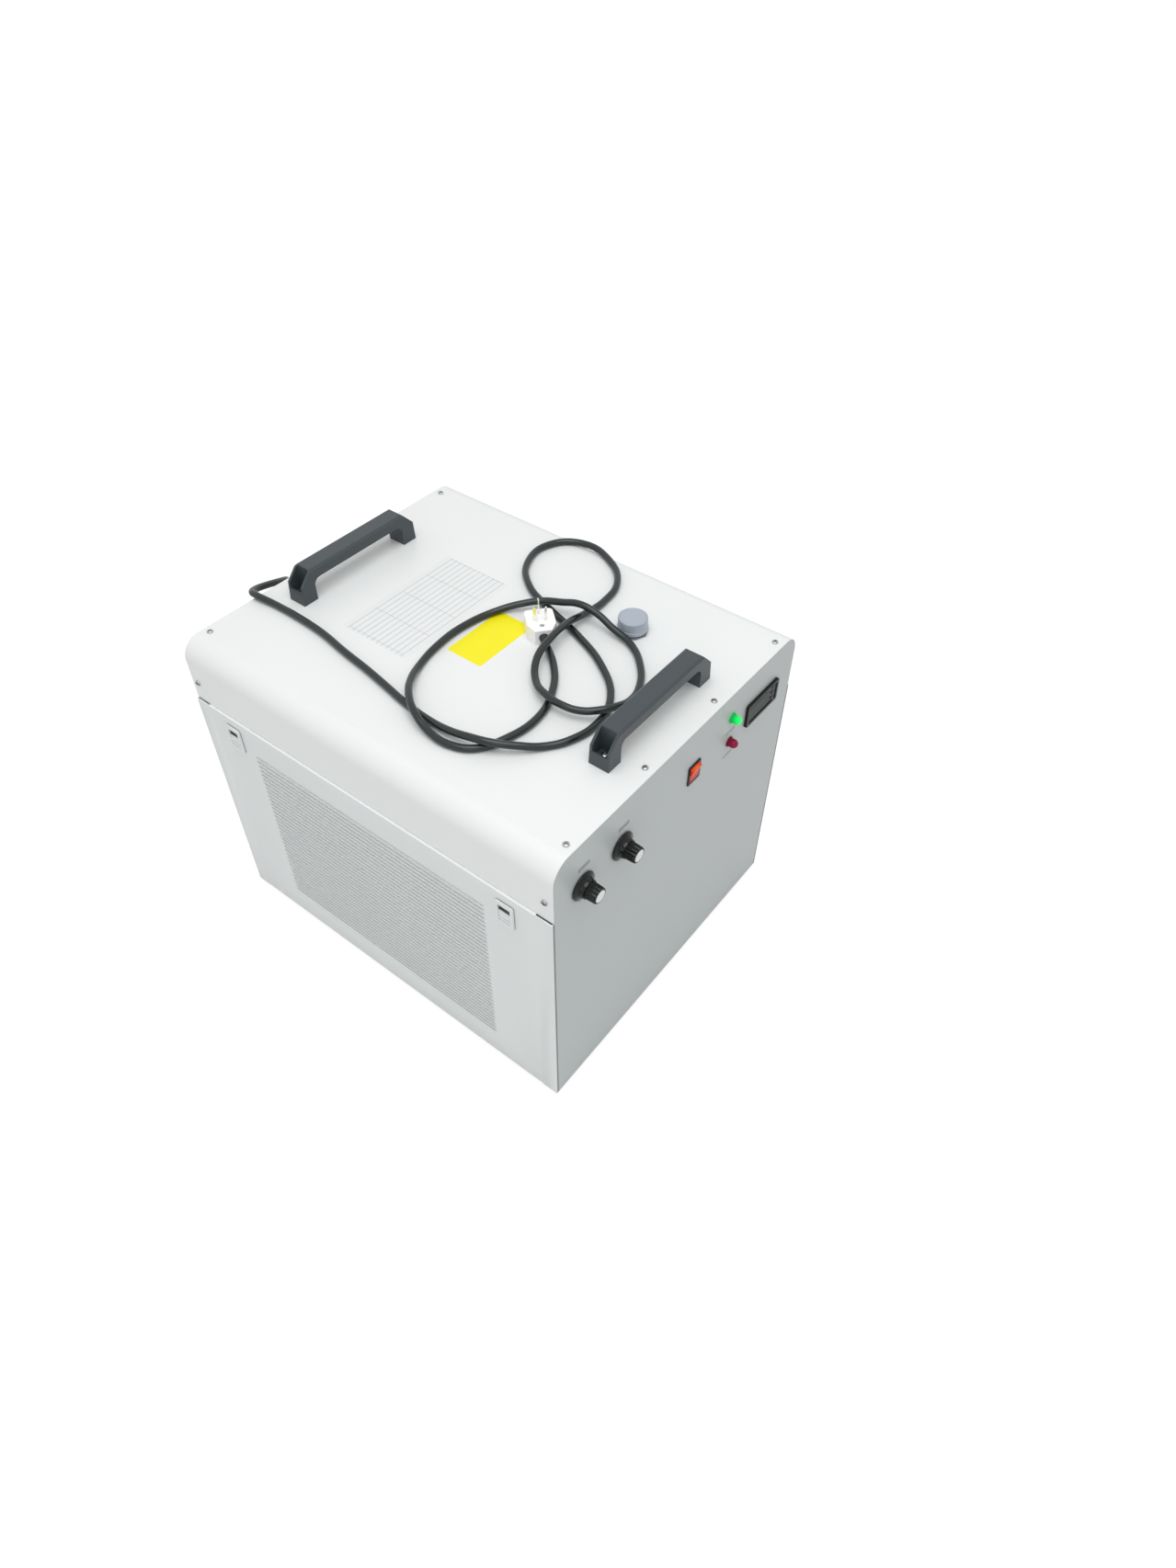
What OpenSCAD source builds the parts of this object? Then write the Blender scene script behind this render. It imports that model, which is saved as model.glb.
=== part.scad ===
// Benchtop water chiller: a sheet-metal cabinet with louvred, latched side panels,
// a control front, a refrigeration circuit, a water tank and a mains lead.
// Millimetres. X runs along the control front, Y to the back, Z up from the floor.

/* [Cabinet] */
// Width over the top cover
cabinet_w = 500; // [480:1:540]
// Depth from the control front to the back panel
cabinet_d = 600; // [580:1:660]
// Height of the sheet-metal cabinet without its feet
cabinet_h = 466; // [450:1:520]
// Thickness of the cabinet's sheet metal
sheet = 1.2; // [1:0.1:1.6]
// Outer bend radius of the top cover
cover_bend = 28; // [15:1:35]
// Height of the top cover's side skirts
skirt_h = 89; // [80:1:100]
// How far the side panels stand out from the skirts
panel_step = 2.7; // [2:0.1:4]
// Depth of the inward flanges on the front and back panels
flange = 24; // [20:1:28]

/* [Base] */
// Height of the rubber feet
foot_h = 8; // [5:1:15]
// Diameter of the rubber feet
foot_d = 32; // [20:1:40]
// Distance of each foot from the cabinet's edges
foot_inset = 45; // [30:1:60]
// Thickness of the base pan
base_sheet = 1.5; // [1.2:0.1:2.5]
// Height of the base pan's rims
base_rim = 25; // [18:1:35]

/* [Side panels] */
// Louvre rows in each side panel
louvre_rows = 35; // [10:1:36]
// Height from one louvre to the next
louvre_pitch = 8.1; // [7:0.1:8.2]
// Length of each louvre
louvre_len = 396; // [300:1:400]
// Height of each louvre's slot
louvre_gap = 2.8; // [1.5:0.1:3.2]
// How far each louvre's hood stands out
louvre_hood = 1.6; // [1:0.1:2.5]
// Height of the lowest louvre above the cabinet's bottom
louvre_low = 52; // [40:1:60]
// Thickness of the dust filters
filter_t = 6; // [4:0.5:8]

/* [Latches] */
// Width of a latch bezel
latch_w = 27; // [25:0.5:30]
// Height of a latch bezel
latch_h = 40; // [38:0.5:44]
// How far a latch bezel stands out
latch_out = 3; // [2:0.5:4]
// Distance from a latch to the near end of its panel
latch_end = 68; // [50:1:75]
// Distance from the seam down to a latch bezel
latch_drop = 14; // [12:0.5:16]
// Travel of a latch slide
latch_travel = 8; // [6:0.5:9]

/* [Handles] */
// Length of a handle
handle_len = 206; // [202:1:212]
// Height of a handle
handle_h = 46; // [42:1:50]
// Width of a handle
handle_w = 28; // [24:1:32]
// Distance from a handle's centre line to the cabinet's end
handle_end = 53; // [45:1:70]
// Distance between a handle's screws
handle_pitch = 182; // [180:1:184]
// Thickness of a handle's grip
grip_t = 15.5; // [12:0.5:18]

/* [Filler] */
// Diameter of the filler cap
cap_d = 40; // [38:0.5:44]
// Height of the filler cap
cap_h = 18; // [16:0.5:24]
// Distance of the filler from the right side
filler_from_right = 129; // [110:1:140]
// Distance of the filler from the front
filler_from_front = 168; // [150:1:190]
// Outer diameter of the filler neck
neck_d = 28; // [24:0.5:30]

/* [Front controls] */
// Thermostat bezel's width
thermo_w = 75; // [70:1:80]
// Thermostat bezel's height
thermo_h = 35; // [33:0.5:38]
// Thermostat's depth behind the panel
thermo_depth = 58; // [40:1:60]
// Thermostat's distance from the right side
thermo_from_right = 78; // [75:1:90]
// Thermostat's distance below the top
thermo_drop = 65; // [60:1:75]
// Switch bezel's width
switch_w = 25.5; // [24:0.5:28]
// Switch bezel's height
switch_h = 30.5; // [29:0.5:33]
// Switch's distance from the right side
switch_from_right = 232; // [210:1:240]
// Switch's distance below the top
switch_drop = 70; // [60:1:80]
// Diameter of a lamp's lens
lamp_d = 12; // [10:0.5:14]
// Lamps' distance from the right side
lamp_from_right = 150; // [140:1:160]
// Upper lamp's distance below the top
lamp_drop = 41; // [38:1:50]
// Distance between the two lamps
lamp_pitch = 40; // [30:1:45]
// Diameter of a knob's skirt
knob_d = 38; // [34:0.5:42]
// Diameter of a knob's grip
knob_grip_d = 21; // [18:0.5:24]
// How far a knob stands out from the front
knob_out = 25; // [22:0.5:30]
// Left knob's distance from the left side
knob_from_left = 50; // [45:1:60]
// Distance between the knobs
knob_pitch = 72; // [60:1:80]
// Knobs' distance below the top
knob_drop = 71; // [65:1:80]

/* [Back] */
// Size of the square fan
fan_size = 200; // [170:1:200]
// Depth of the fan
fan_depth = 50; // [40:1:55]
// Fan's distance from the left side
fan_from_left = 175; // [165:1:180]
// Fan's height above the cabinet's bottom
fan_centre_h = 180; // [170:1:190]
// Outer diameter of a hose barb
barb_d = 16; // [12:0.5:18]
// How far the water fittings stand out from the back
fitting_out = 25; // [22:0.5:30]
// Water fittings' distance from the right side
ports_from_right = 95; // [80:1:110]
// Water inlet's height above the cabinet's bottom
inlet_up = 260; // [240:1:280]
// Water outlet's height above the cabinet's bottom
outlet_up = 150; // [130:1:170]
// Drain valve's distance from the right side
drain_from_right = 40; // [35:1:50]

/* [Inside] */
// Tank's width
tank_w = 200; // [180:1:205]
// Tank's depth
tank_d = 210; // [190:1:215]
// Tank's height
tank_h = 330; // [300:1:340]
// Tank's wall
tank_wall = 3; // [2:0.5:4]
// Compressor's diameter
compressor_d = 150; // [130:1:160]
// Compressor's height
compressor_h = 190; // [160:1:210]
// Condenser's width
condenser_w = 260; // [220:1:265]
// Condenser's height
condenser_h = 290; // [260:1:300]
// Condenser's thickness
condenser_t = 42; // [30:1:50]
// Pump motor's diameter
pump_d = 70; // [60:1:75]
// Pump's length
pump_len = 130; // [110:1:140]

/* [Mains lead] */
// Diameter of the mains lead
cord_d = 9.4; // [8:0.1:10]
// Width of the plug's body
plug_w = 37; // [35:0.5:40]
// Length of the plug's body
plug_len = 46; // [42:0.5:48]
// Thickness of the plug's body
plug_t = 20; // [18:0.5:22]

/* [Hidden] */

// Roundness of turned and bent faces
$fn = 64;

// How far a cut runs past the face that it opens
over = 1;
// Gap between pieces that rest against each other
seat = 0.3;
// Radial gap of a shaft or slide that runs in its hole
running = 0.06;

// Levels and faces of the cabinet
bottom_z = foot_h;
top_z = bottom_z + cabinet_h;
seam_z = top_z - skirt_h;
front_y = -cabinet_d / 2;
back_y = cabinet_d / 2;
side_x = cabinet_w / 2;
panel_x = side_x + panel_step;
frame_x = side_x - sheet - seat;
frame_top = top_z - sheet - seat;
pan_x = frame_x - sheet - seat;
pan_y = back_y - sheet - seat;
pan_z = bottom_z + base_sheet;
// Gap between a side panel and the skirt above it
seam_gap = 0.8;
// Gap between a side panel's front edge and the front panel
edge_gap = 0.5;
// Depth of a side panel's folds along its top and bottom
fold = 12;
rim_x = panel_x - fold - 3 * base_sheet;

// Screws of the cover
screw_r = 2;
screw_head_r = 4;
screw_head_h = 2.2;
screw_len = 8;
screw_hole_r = 2.4;
screw_fit_r = screw_r + running;
screw_in = 12;
screw_side = 37.5;
side_screw_drop = 60;
slot_w = 1;
screws_across = 4;

// Panel outline: a rectangle with its two top corners rounded
module arch(w, h, r) {
    translate([-w / 2, 0]) square([w, h - r]);
    translate([-w / 2 + r, 0]) square([w - 2 * r, h]);
    for (s = [-1, 1]) translate([s * (w / 2 - r), h - r]) circle(r);
}

// Rectangle with its four corners rounded, centred
module round_rect(w, h, r) {
    square([w - 2 * r, h], center = true);
    square([w, h - 2 * r], center = true);
    for (x = [-1, 1]) for (y = [-1, 1])
        translate([x * (w / 2 - r), y * (h / 2 - r)]) circle(r, $fn = 24);
}

// Lays a drawing upright in the XZ plane, extruded towards the back from y
module upright(y, depth) {
    translate([0, y + depth, 0]) rotate([90, 0, 0]) linear_extrude(depth) children();
}

// Rod along Y from y towards the back
module rod_y(x, y, z, r, length) {
    translate([x, y + length, z]) rotate([90, 0, 0]) cylinder(r = r, h = length);
}

// Rod along X
module rod_x(x, y, z, r, length) {
    translate([x, y, z]) rotate([0, 90, 0]) cylinder(r = r, h = length);
}

// Box from its low corner
module box(x, y, z, w, d, h) {
    translate([x, y, z]) cube([w, d, h]);
}

// Mirrors its children to both ends or both sides
module both_ends() { children(); mirror([0, 1, 0]) children(); }
module both_sides() { children(); mirror([1, 0, 0]) children(); }

// Routes of tubes: unit vectors, headings and side vectors carried without twist
function unit(v) = v / norm(v);
function heading(p, i) = unit(p[min(i + 1, len(p) - 1)] - p[max(i - 1, 0)]);
function square_to(v, t) = unit(v - (v * t) * t);
function first_side(t) = square_to(abs(t[2]) > 0.9 ? [1, 0, 0] : [0, 0, 1], t);
function side_vectors(p) = [
    for (i = 0, s = first_side(heading(p, 0)); i < len(p);
        i = i + 1, s = i < len(p) ? square_to(s, heading(p, i)) : s) s];

// Points of an arc that rounds the corner b between a and c
function corner_points(a, b, c, r, steps) =
    let (u = unit(a - b), v = unit(c - b))
    let (half = acos(u * v) / 2, reach = r / tan(half))
    let (centre = b + unit(u + v) * r / sin(half))
    let (from = b + u * reach - centre, to = b + v * reach - centre)
    let (turn = 180 - 2 * half)
    [for (k = [0:steps]) centre
        + (from * sin(turn * (1 - k / steps)) + to * sin(turn * k / steps)) / sin(turn)];

// Route with every inner corner rounded
function rounded_route(p, r, steps = 4) = concat([p[0]],
    [for (i = [1:len(p) - 2]) each corner_points(p[i - 1], p[i], p[i + 1], r, steps)],
    [p[len(p) - 1]]);

// Solid tube swept along a route as one polyhedron of triangles
module swept(p, r, sides) {
    s = side_vectors(p);
    last = len(p) - 1;
    points = [for (i = [0:last]) let (n = cross(heading(p, i), s[i]))
        for (k = [0:sides - 1]) p[i] + r * (cos(360 * k / sides) * s[i] + sin(360 * k / sides) * n)];
    walls = [for (i = [0:last - 1]) for (k = [0:sides - 1])
        let (a = i * sides + k, b = i * sides + (k + 1) % sides)
        each [[a, b + sides, b], [a, a + sides, b + sides]]];
    near = [for (k = [1:sides - 2]) [0, k, k + 1]];
    far = [for (k = [1:sides - 2]) [last * sides, last * sides + k + 1, last * sides + k]];
    polyhedron(points, concat(walls, near, far));
}

// Pan-head screw pointing down from its seat, with a driver slot
module screw(r = screw_r, head_r = screw_head_r, head_h = screw_head_h, length = screw_len) {
    difference() {
        union() {
            cylinder(r = head_r, h = head_h);
            translate([0, 0, -length]) cylinder(r = r, h = length);
        }
        translate([-head_r, -slot_w / 2, head_h / 2]) cube([2 * head_r, slot_w, head_h]);
    }
}

// Places of the cover's screws: rows along the front and back edges, then the skirts
screw_row = [for (k = [0:screws_across - 1])
    -side_x + screw_side + k * (cabinet_w - 2 * screw_side) / (screws_across - 1)];
side_screw_z = top_z - side_screw_drop;
end_y = back_y - screw_in;

module cover_screw_places(lift) {
    for (x = screw_row) for (s = [-1, 1]) translate([x, s * end_y, top_z + lift]) children();
    for (s = [-1, 1]) for (t = [-1, 1])
        translate([s * (side_x + lift), t * end_y, side_screw_z]) rotate([0, s * 90, 0]) children();
}

module cover_screws() {
    color("silver") cover_screw_places(0) screw();
}

module cover_screw_holes(r) {
    cover_screw_places(0) translate([0, 0, -2 * screw_len]) cylinder(r = r, h = 4 * screw_len);
}

// Base pan: floor plate with a rim on all sides
module base_pan() {
    color("lightgray") difference() {
        union() {
            box(-pan_x, -pan_y, bottom_z, 2 * pan_x, 2 * pan_y, base_sheet);
            both_ends() box(-pan_x, pan_y - base_sheet, bottom_z, 2 * pan_x, base_sheet, base_rim);
            both_sides() box(rim_x - base_sheet, -pan_y, bottom_z, base_sheet, 2 * pan_y, base_rim);
        }
        foot_places() translate([0, 0, -over]) cylinder(r = foot_pin_r + running, h = foot_h + base_rim);
    }
}

foot_x = side_x - foot_inset;
foot_y = back_y - foot_inset;
foot_pin_r = 4;
foot_top_share = 0.85;

module foot_places() {
    for (x = [-1, 1]) for (y = [-1, 1]) translate([x * foot_x, y * foot_y, 0]) children();
}

// Rubber feet with a button that snaps into the base pan
module rubber_feet() {
    color("dimgray") foot_places() {
        cylinder(r1 = foot_d / 2 * foot_top_share, r2 = foot_d / 2, h = foot_h);
        cylinder(r = foot_pin_r, h = foot_h + base_sheet);
    }
}

// Shell of a front or back panel: face plate with flanges at its top and sides
module panel_shell(y_face, y_rim) {
    upright(y_face, sheet) translate([0, bottom_z]) frame_outline();
    upright(y_rim, flange) difference() {
        translate([0, bottom_z]) frame_outline();
        translate([0, bottom_z - over])
            arch(2 * (frame_x - sheet), frame_top - bottom_z - sheet + over, frame_bend - sheet);
    }
}
frame_bend = cover_bend - sheet - seat;
module frame_outline() { arch(2 * frame_x, frame_top - bottom_z, frame_bend); }

// Places of the controls on the front
thermo_x = side_x - thermo_from_right;
thermo_z = top_z - thermo_drop;
switch_x = side_x - switch_from_right;
switch_z = top_z - switch_drop;
lamp_x = side_x - lamp_from_right;
green_z = top_z - lamp_drop;
red_z = green_z - lamp_pitch;
left_knob_x = -side_x + knob_from_left;
right_knob_x = left_knob_x + knob_pitch;
knob_z = top_z - knob_drop;

// Cut-outs behind the bezels
thermo_lip = 2;
switch_lip = 1.8;
thermo_cut_w = thermo_w - 2 * thermo_lip;
thermo_cut_h = thermo_h - 2 * thermo_lip;
switch_cut_w = switch_w - 2 * switch_lip;
switch_cut_h = switch_h - 2 * switch_lip;
lamp_thread_r = 4;
bush_r = 4.7;

module front_panel() {
    color("darkgray") difference() {
        panel_shell(front_y, front_y);
        upright(front_y - over, sheet + 2 * over) {
            translate([thermo_x, thermo_z]) square([thermo_cut_w, thermo_cut_h], center = true);
            translate([switch_x, switch_z]) square([switch_cut_w, switch_cut_h], center = true);
        }
        for (z = [green_z, red_z]) rod_y(lamp_x, front_y - over, z, lamp_thread_r + seat, sheet + 2 * over);
        for (x = [left_knob_x, right_knob_x])
            rod_y(x, front_y - over, knob_z, bush_r + seat, sheet + 2 * over);
        cover_screw_holes(screw_fit_r);
    }
}

// Places of the pieces on the back
fan_x = -side_x + fan_from_left;
fan_z = bottom_z + fan_centre_h;
port_x = side_x - ports_from_right;
inlet_z = bottom_z + inlet_up;
outlet_z = bottom_z + outlet_up;
drain_x = side_x - drain_from_right;
gland_x = -20;
gland_drop = 116;
gland_z = top_z - gland_drop;
gland_r = 8;
barb_bore_share = 0.7;
fan_bore_share = 0.93;
fan_screw_share = 0.88;
fan_screw_r = 2.5;

module back_panel() {
    color("whitesmoke") difference() {
        panel_shell(back_y - sheet, back_y - flange);
        rod_y(fan_x, back_y - flange, fan_z, fan_size / 2 * fan_bore_share, 2 * flange);
        for (z = [inlet_z, outlet_z]) rod_y(port_x, back_y - flange, z, barb_d / 2 + seat, 2 * flange);
        rod_y(drain_x, back_y - flange, drain_z, drain_r + seat, 2 * flange);
        rod_y(gland_x, back_y - flange, gland_z, gland_r + running, 2 * flange);
        fan_screw_places() rod_y(0, back_y - flange, 0, fan_screw_r + seat, 2 * flange);
        cover_screw_holes(screw_fit_r);
    }
}

module fan_screw_places() {
    reach = fan_size / 2 * fan_screw_share;
    for (x = [-1, 1]) for (z = [-1, 1]) translate([fan_x + x * reach, 0, fan_z + z * reach]) children();
}

// Top cover: one sheet bent over the top with a skirt down each side
filler_x = side_x - filler_from_right;
filler_y = front_y + filler_from_front;
handle_y = back_y - handle_end;
handle_screw_r = 3;

module top_cover() {
    color("white") difference() {
        upright(front_y, cabinet_d) translate([0, seam_z]) difference() {
            arch(cabinet_w, skirt_h, cover_bend);
            translate([0, -over])
                arch(cabinet_w - 2 * sheet, skirt_h - sheet + over, cover_bend - sheet);
        }
        cover_screw_holes(screw_hole_r);
        translate([filler_x, filler_y, seam_z]) cylinder(r = neck_d / 2 + seat, h = skirt_h + over);
        for (s = [-1, 1]) for (t = [-1, 1])
            translate([s * handle_pitch / 2, t * handle_y, seam_z])
                cylinder(r = handle_screw_r + seat, h = skirt_h + over);
    }
}

// Side panel, drawn for the right side and mirrored for the left
panel_top = seam_z - seam_gap;
edge_fold = panel_x - frame_x - edge_gap;
latch_y = back_y - latch_end;
latch_z = seam_z - latch_drop - latch_h / 2;
latch_lap = 1.25;
latch_window_w = latch_w - 2 * latch_lap;
latch_window_h = latch_h - 5 * latch_lap;
tongue_w = 16;
hood_t = 0.8;
hood_gap_share = 0.6;

module latch_places() { for (s = [-1, 1]) translate([0, s * latch_y, latch_z]) children(); }

module side_sheet() {
    difference() {
        union() {
            difference() {
                box(panel_x - sheet, front_y, bottom_z, sheet, cabinet_d, panel_top - bottom_z);
                for (row = [0:louvre_rows - 1]) louvre_slot(row);
                latch_places() translate([panel_x, 0, 0])
                    cube([4 * sheet, latch_window_w, latch_window_h], center = true);
            }
            for (row = [0:louvre_rows - 1]) louvre_lip(row);
            both_ends() box(panel_x - edge_fold, back_y - sheet, bottom_z, edge_fold, sheet,
                panel_top - bottom_z);
            box(panel_x - fold, -back_y + flange + seat, panel_top - sheet,
                fold, cabinet_d - 2 * flange - 2 * seat, sheet);
            box(panel_x - fold, -back_y + flange + seat, pan_z + seat,
                fold, cabinet_d - 2 * flange - 2 * seat, sheet);
        }
        latch_places() translate([panel_x - sheet - fold, -tongue_w / 2 - seat, 0])
            cube([fold - panel_x + side_x, tongue_w + 2 * seat, latch_h]);
    }
}

function louvre_z(row) = bottom_z + louvre_low + row * louvre_pitch;

module louvre_slot(row) {
    box(panel_x - 2 * sheet, -louvre_len / 2, louvre_z(row), 3 * sheet, louvre_len, louvre_gap);
}

// Hood bent out and up from the lower edge of a slot, so that it opens at its top
module louvre_lip(row) {
    translate([panel_x, louvre_len / 2, louvre_z(row)]) rotate([90, 0, 0])
        linear_extrude(louvre_len) polygon([[-sheet, 0], [-sheet, -hood_t], [0, -hood_t],
            [louvre_hood, louvre_gap * hood_gap_share - hood_t],
            [louvre_hood, louvre_gap * hood_gap_share], [0, 0]]);
}

module right_panel() { color("gainsboro") side_sheet(); }
module left_panel() { color("gainsboro") mirror([1, 0, 0]) side_sheet(); }

// Dust filter: a framed mat held just behind the louvres
filter_edge = 8;
filter_bar = 3;
filter_x = panel_x - sheet - seat - filter_t;
filter_low = louvre_z(0) - filter_edge;
filter_high = louvre_z(louvre_rows - 1) + louvre_gap + filter_edge;

module filter_mat() {
    w = louvre_len + 2 * filter_edge;
    box(filter_x, -w / 2, filter_low, filter_t, w, filter_high - filter_low);
    for (s = [-1, 1]) box(filter_x + filter_t, s * (w - filter_bar) / 2 - filter_bar / 2, filter_low,
        seat / 2, filter_bar, filter_high - filter_low);
}

module right_filter() { color("dimgray") filter_mat(); }
module left_filter() { color("dimgray") mirror([1, 0, 0]) filter_mat(); }

// Latch bezel: frame outside, rails inside that carry the slide
window_w = 18;
window_h = 28;
bezel_corner = 3;
bezel_step = 1;
rail_depth = 6.6;
tongue_t = 1.7;

module latch_bezel() {
    rotate([90, 0, 90]) difference() {
        union() {
            linear_extrude(latch_out - bezel_step) round_rect(latch_w, latch_h, bezel_corner);
            translate([0, 0, latch_out - bezel_step]) linear_extrude(bezel_step)
                round_rect(latch_w - bezel_step, latch_h - bezel_step, bezel_corner);
            translate([0, 0, -sheet]) linear_extrude(sheet)
                square([latch_window_w - 2 * seat, latch_window_h - 2 * seat], center = true);
        }
        translate([0, 0, -sheet - over]) linear_extrude(latch_out + sheet + 2 * over)
            square([window_w, window_h], center = true);
    }
    for (s = [-1, 1]) {
        translate([-rail_depth - sheet, s * rail_y - rail_t / 2, -rail_h / 2])
            cube([rail_depth + sheet, rail_t, rail_h]);
        translate([-rail_depth - sheet, s * (rail_y - rail_t / 2) - (s + 1) / 2 * rail_lip, -rail_h / 2])
            cube([rail_t, rail_lip, rail_h]);
    }
}
rail_t = 1.2;
rail_lip = 1.6;
rail_h = latch_window_h - 2 * seat;
rail_y = latch_window_w / 2 - seat - rail_t / 2;

module right_latch_bezels() {
    color("whitesmoke") latch_places() translate([panel_x, 0, 0]) latch_bezel();
}
module left_latch_bezels() { color("whitesmoke") mirror([1, 0, 0]) latch_places()
    translate([panel_x, 0, 0]) latch_bezel(); }

// Latch slide: thumb block with two ridges, a carrier plate and a tongue that rises behind the skirt
thumb_h = 17.5;
thumb_out = 2;
ridge_t = 1.6;
ridge_out = 1.2;
ridge_pitch = 5;
plate_w = 2 * (rail_y - rail_t / 2) - 2 * seat;
tongue_top = seam_z - latch_travel / 3 - latch_z;
plate_top = panel_top - sheet - latch_travel - seat - latch_z;

module latch_slide() {
    thumb_low = -window_h / 2 + seat;
    translate([-sheet - slide_gap - over, -window_w / 2 + seat, thumb_low])
        cube([sheet + slide_gap + over + thumb_out, window_w - 2 * seat, thumb_h]);
    for (k = [0, 1]) translate([thumb_out, 2 * seat - window_w / 2, thumb_low + thumb_h / 4])
        translate([0, 0, k * ridge_pitch]) cube([ridge_out, window_w - 4 * seat, ridge_t]);
    translate([-slide_back, -plate_w / 2, -rail_h / 2]) cube([slide_back - sheet - slide_gap, plate_w,
        plate_top + rail_h / 2]);
    translate([-slide_back, -tongue_w / 2, -rail_h / 2]) cube([tongue_t, tongue_w, tongue_top + rail_h / 2]);
}
slide_gap = 0.4;
slide_back = sheet + rail_depth - rail_t - seat;

module right_slide(s) { translate([panel_x, s * latch_y, latch_z]) latch_slide(); }
module left_slide(s) { mirror([1, 0, 0]) right_slide(s); }
module left_front_slide() { color("whitesmoke") left_slide(-1); }
module left_back_slide() { color("whitesmoke") left_slide(1); }
module right_front_slide() { color("whitesmoke") right_slide(-1); }
module right_back_slide() { color("whitesmoke") right_slide(1); }

// Bridge handle: each slanted end has a screw pocket that is open above a low end wall
handle_toe = 27;
handle_slant = 20;
handle_draft = 2;
leg_t = 23;
leg_curve = 10;
top_chamfer = 4;
side_chamfer = 3;
pocket_floor = 10;
pocket_wall = 3.6;
pocket_len = 15.4;
end_wall_h = 18.5;
grip_under = handle_h - grip_t;

module handle_outline() {
    half = handle_len / 2;
    difference() {
        polygon([[-half, 0], [-half + handle_draft, handle_toe], [-half + handle_slant, handle_h],
            [half - handle_slant, handle_h], [half - handle_draft, handle_toe], [half, 0]]);
        translate([-half + leg_t, -over]) square([handle_len - 2 * leg_t, grip_under - leg_curve + over]);
        translate([-half + leg_t + leg_curve, 0])
            square([handle_len - 2 * leg_t - 2 * leg_curve, grip_under]);
        for (s = [-1, 1]) translate([s * (half - leg_t - leg_curve), grip_under - leg_curve])
            circle(leg_curve);
    }
}

module handle() {
    half = handle_len / 2;
    hw = handle_w / 2;
    difference() {
        intersection() {
            upright(-hw, handle_w) handle_outline();
            translate([-half, 0, 0]) rotate([90, 0, 90]) linear_extrude(handle_len)
                polygon([[-hw, 0], [-hw, handle_h - side_chamfer], [-hw + top_chamfer, handle_h],
                    [hw - top_chamfer, handle_h], [hw, handle_h - side_chamfer], [hw, 0]]);
        }
        for (s = [-1, 1]) {
            translate([s * (half - pocket_wall - pocket_len / 2), 0, pocket_floor + handle_h / 2])
                cube([pocket_len, handle_w - 2 * pocket_wall, handle_h], center = true);
            translate([s * half, 0, end_wall_h + handle_h / 2])
                cube([leg_t, handle_w - 2 * pocket_wall, handle_h], center = true);
            translate([s * handle_pitch / 2, 0, -over]) cylinder(r = handle_screw_r + running, h = handle_h);
        }
    }
}

module front_handle() { color("darkslategray") translate([0, -handle_y, top_z]) handle(); }
module back_handle() { color("darkslategray") translate([0, handle_y, top_z]) handle(); }

handle_head_r = 5;
handle_head_h = 3.5;
handle_screw_len = 16;

module handle_screws() {
    color("silver") for (s = [-1, 1]) for (t = [-1, 1])
        translate([s * handle_pitch / 2, t * handle_y, top_z + pocket_floor])
            screw(handle_screw_r, handle_head_r, handle_head_h, handle_screw_len);
}

// Tank, its lid, the filler neck through the cover, and the screw cap
tank_right = 25;
tank_gap = 4;
tank_x = side_x - tank_right - tank_w;
tank_y = front_y + thermo_depth + tank_gap;
tank_z = pan_z + seat;
tank_top = tank_z + tank_h;
lid_t = 3;
lid_rim = 8;
spigot_r = 6;
spigot_h = 40;
spigot_z = tank_z + spigot_h;
spigot_x = tank_x + tank_w / 2;
spigot_len = 14;

module tank() {
    color("lightsteelblue") difference() {
        union() {
            box(tank_x, tank_y, tank_z, tank_w, tank_d, tank_h);
            for (x = [spigot_x, drain_x])
                rod_y(x, tank_y + tank_d - over, spigot_z, spigot_r, spigot_len + over);
        }
        box(tank_x + tank_wall, tank_y + tank_wall, tank_z + tank_wall,
            tank_w - 2 * tank_wall, tank_d - 2 * tank_wall, tank_h);
        for (x = [spigot_x, drain_x]) rod_y(x, tank_y + tank_d - 2 * tank_wall, spigot_z,
            spigot_r * barb_bore_share, spigot_len + 3 * tank_wall);
    }
}

collar_h = 12;
collar_t = 3;
return_x = port_x;
return_in = 30;
return_y = tank_y + tank_d - return_in;
coil_pipe_r = 5;

module tank_lid() {
    color("lightsteelblue") difference() {
        union() {
            box(tank_x, tank_y, tank_top + seat, tank_w, tank_d, lid_t);
            box(tank_x + tank_wall + seat, tank_y + tank_wall + seat, tank_top + seat - lid_rim,
                tank_w - 2 * tank_wall - 2 * seat, tank_d - 2 * tank_wall - 2 * seat, lid_rim);
            translate([filler_x, filler_y, tank_top + seat])
                cylinder(r = neck_d / 2 + collar_t, h = collar_h);
            translate([return_x, return_y, tank_top + seat]) cylinder(r = spigot_r, h = spigot_len);
        }
        box(tank_x + 2 * tank_wall, tank_y + 2 * tank_wall, tank_top - 2 * lid_rim,
            tank_w - 4 * tank_wall, tank_d - 4 * tank_wall, 2 * lid_rim + seat);
        translate([filler_x, filler_y, tank_top - lid_rim])
            cylinder(r = neck_d / 2 + running, h = 4 * collar_h);
        translate([return_x, return_y, tank_top - lid_rim])
            cylinder(r = spigot_r * barb_bore_share, h = 2 * spigot_len + lid_rim);
        for (p = [coil_in, coil_out]) translate([p[0], p[1], tank_top - lid_rim])
            cylinder(r = coil_pipe_r + seat, h = 4 * lid_rim);
    }
}

neck_wall = 2.5;
neck_up = 13;
ring_d = 42;
ring_t = 2.5;
gasket_t = 1.5;

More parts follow.
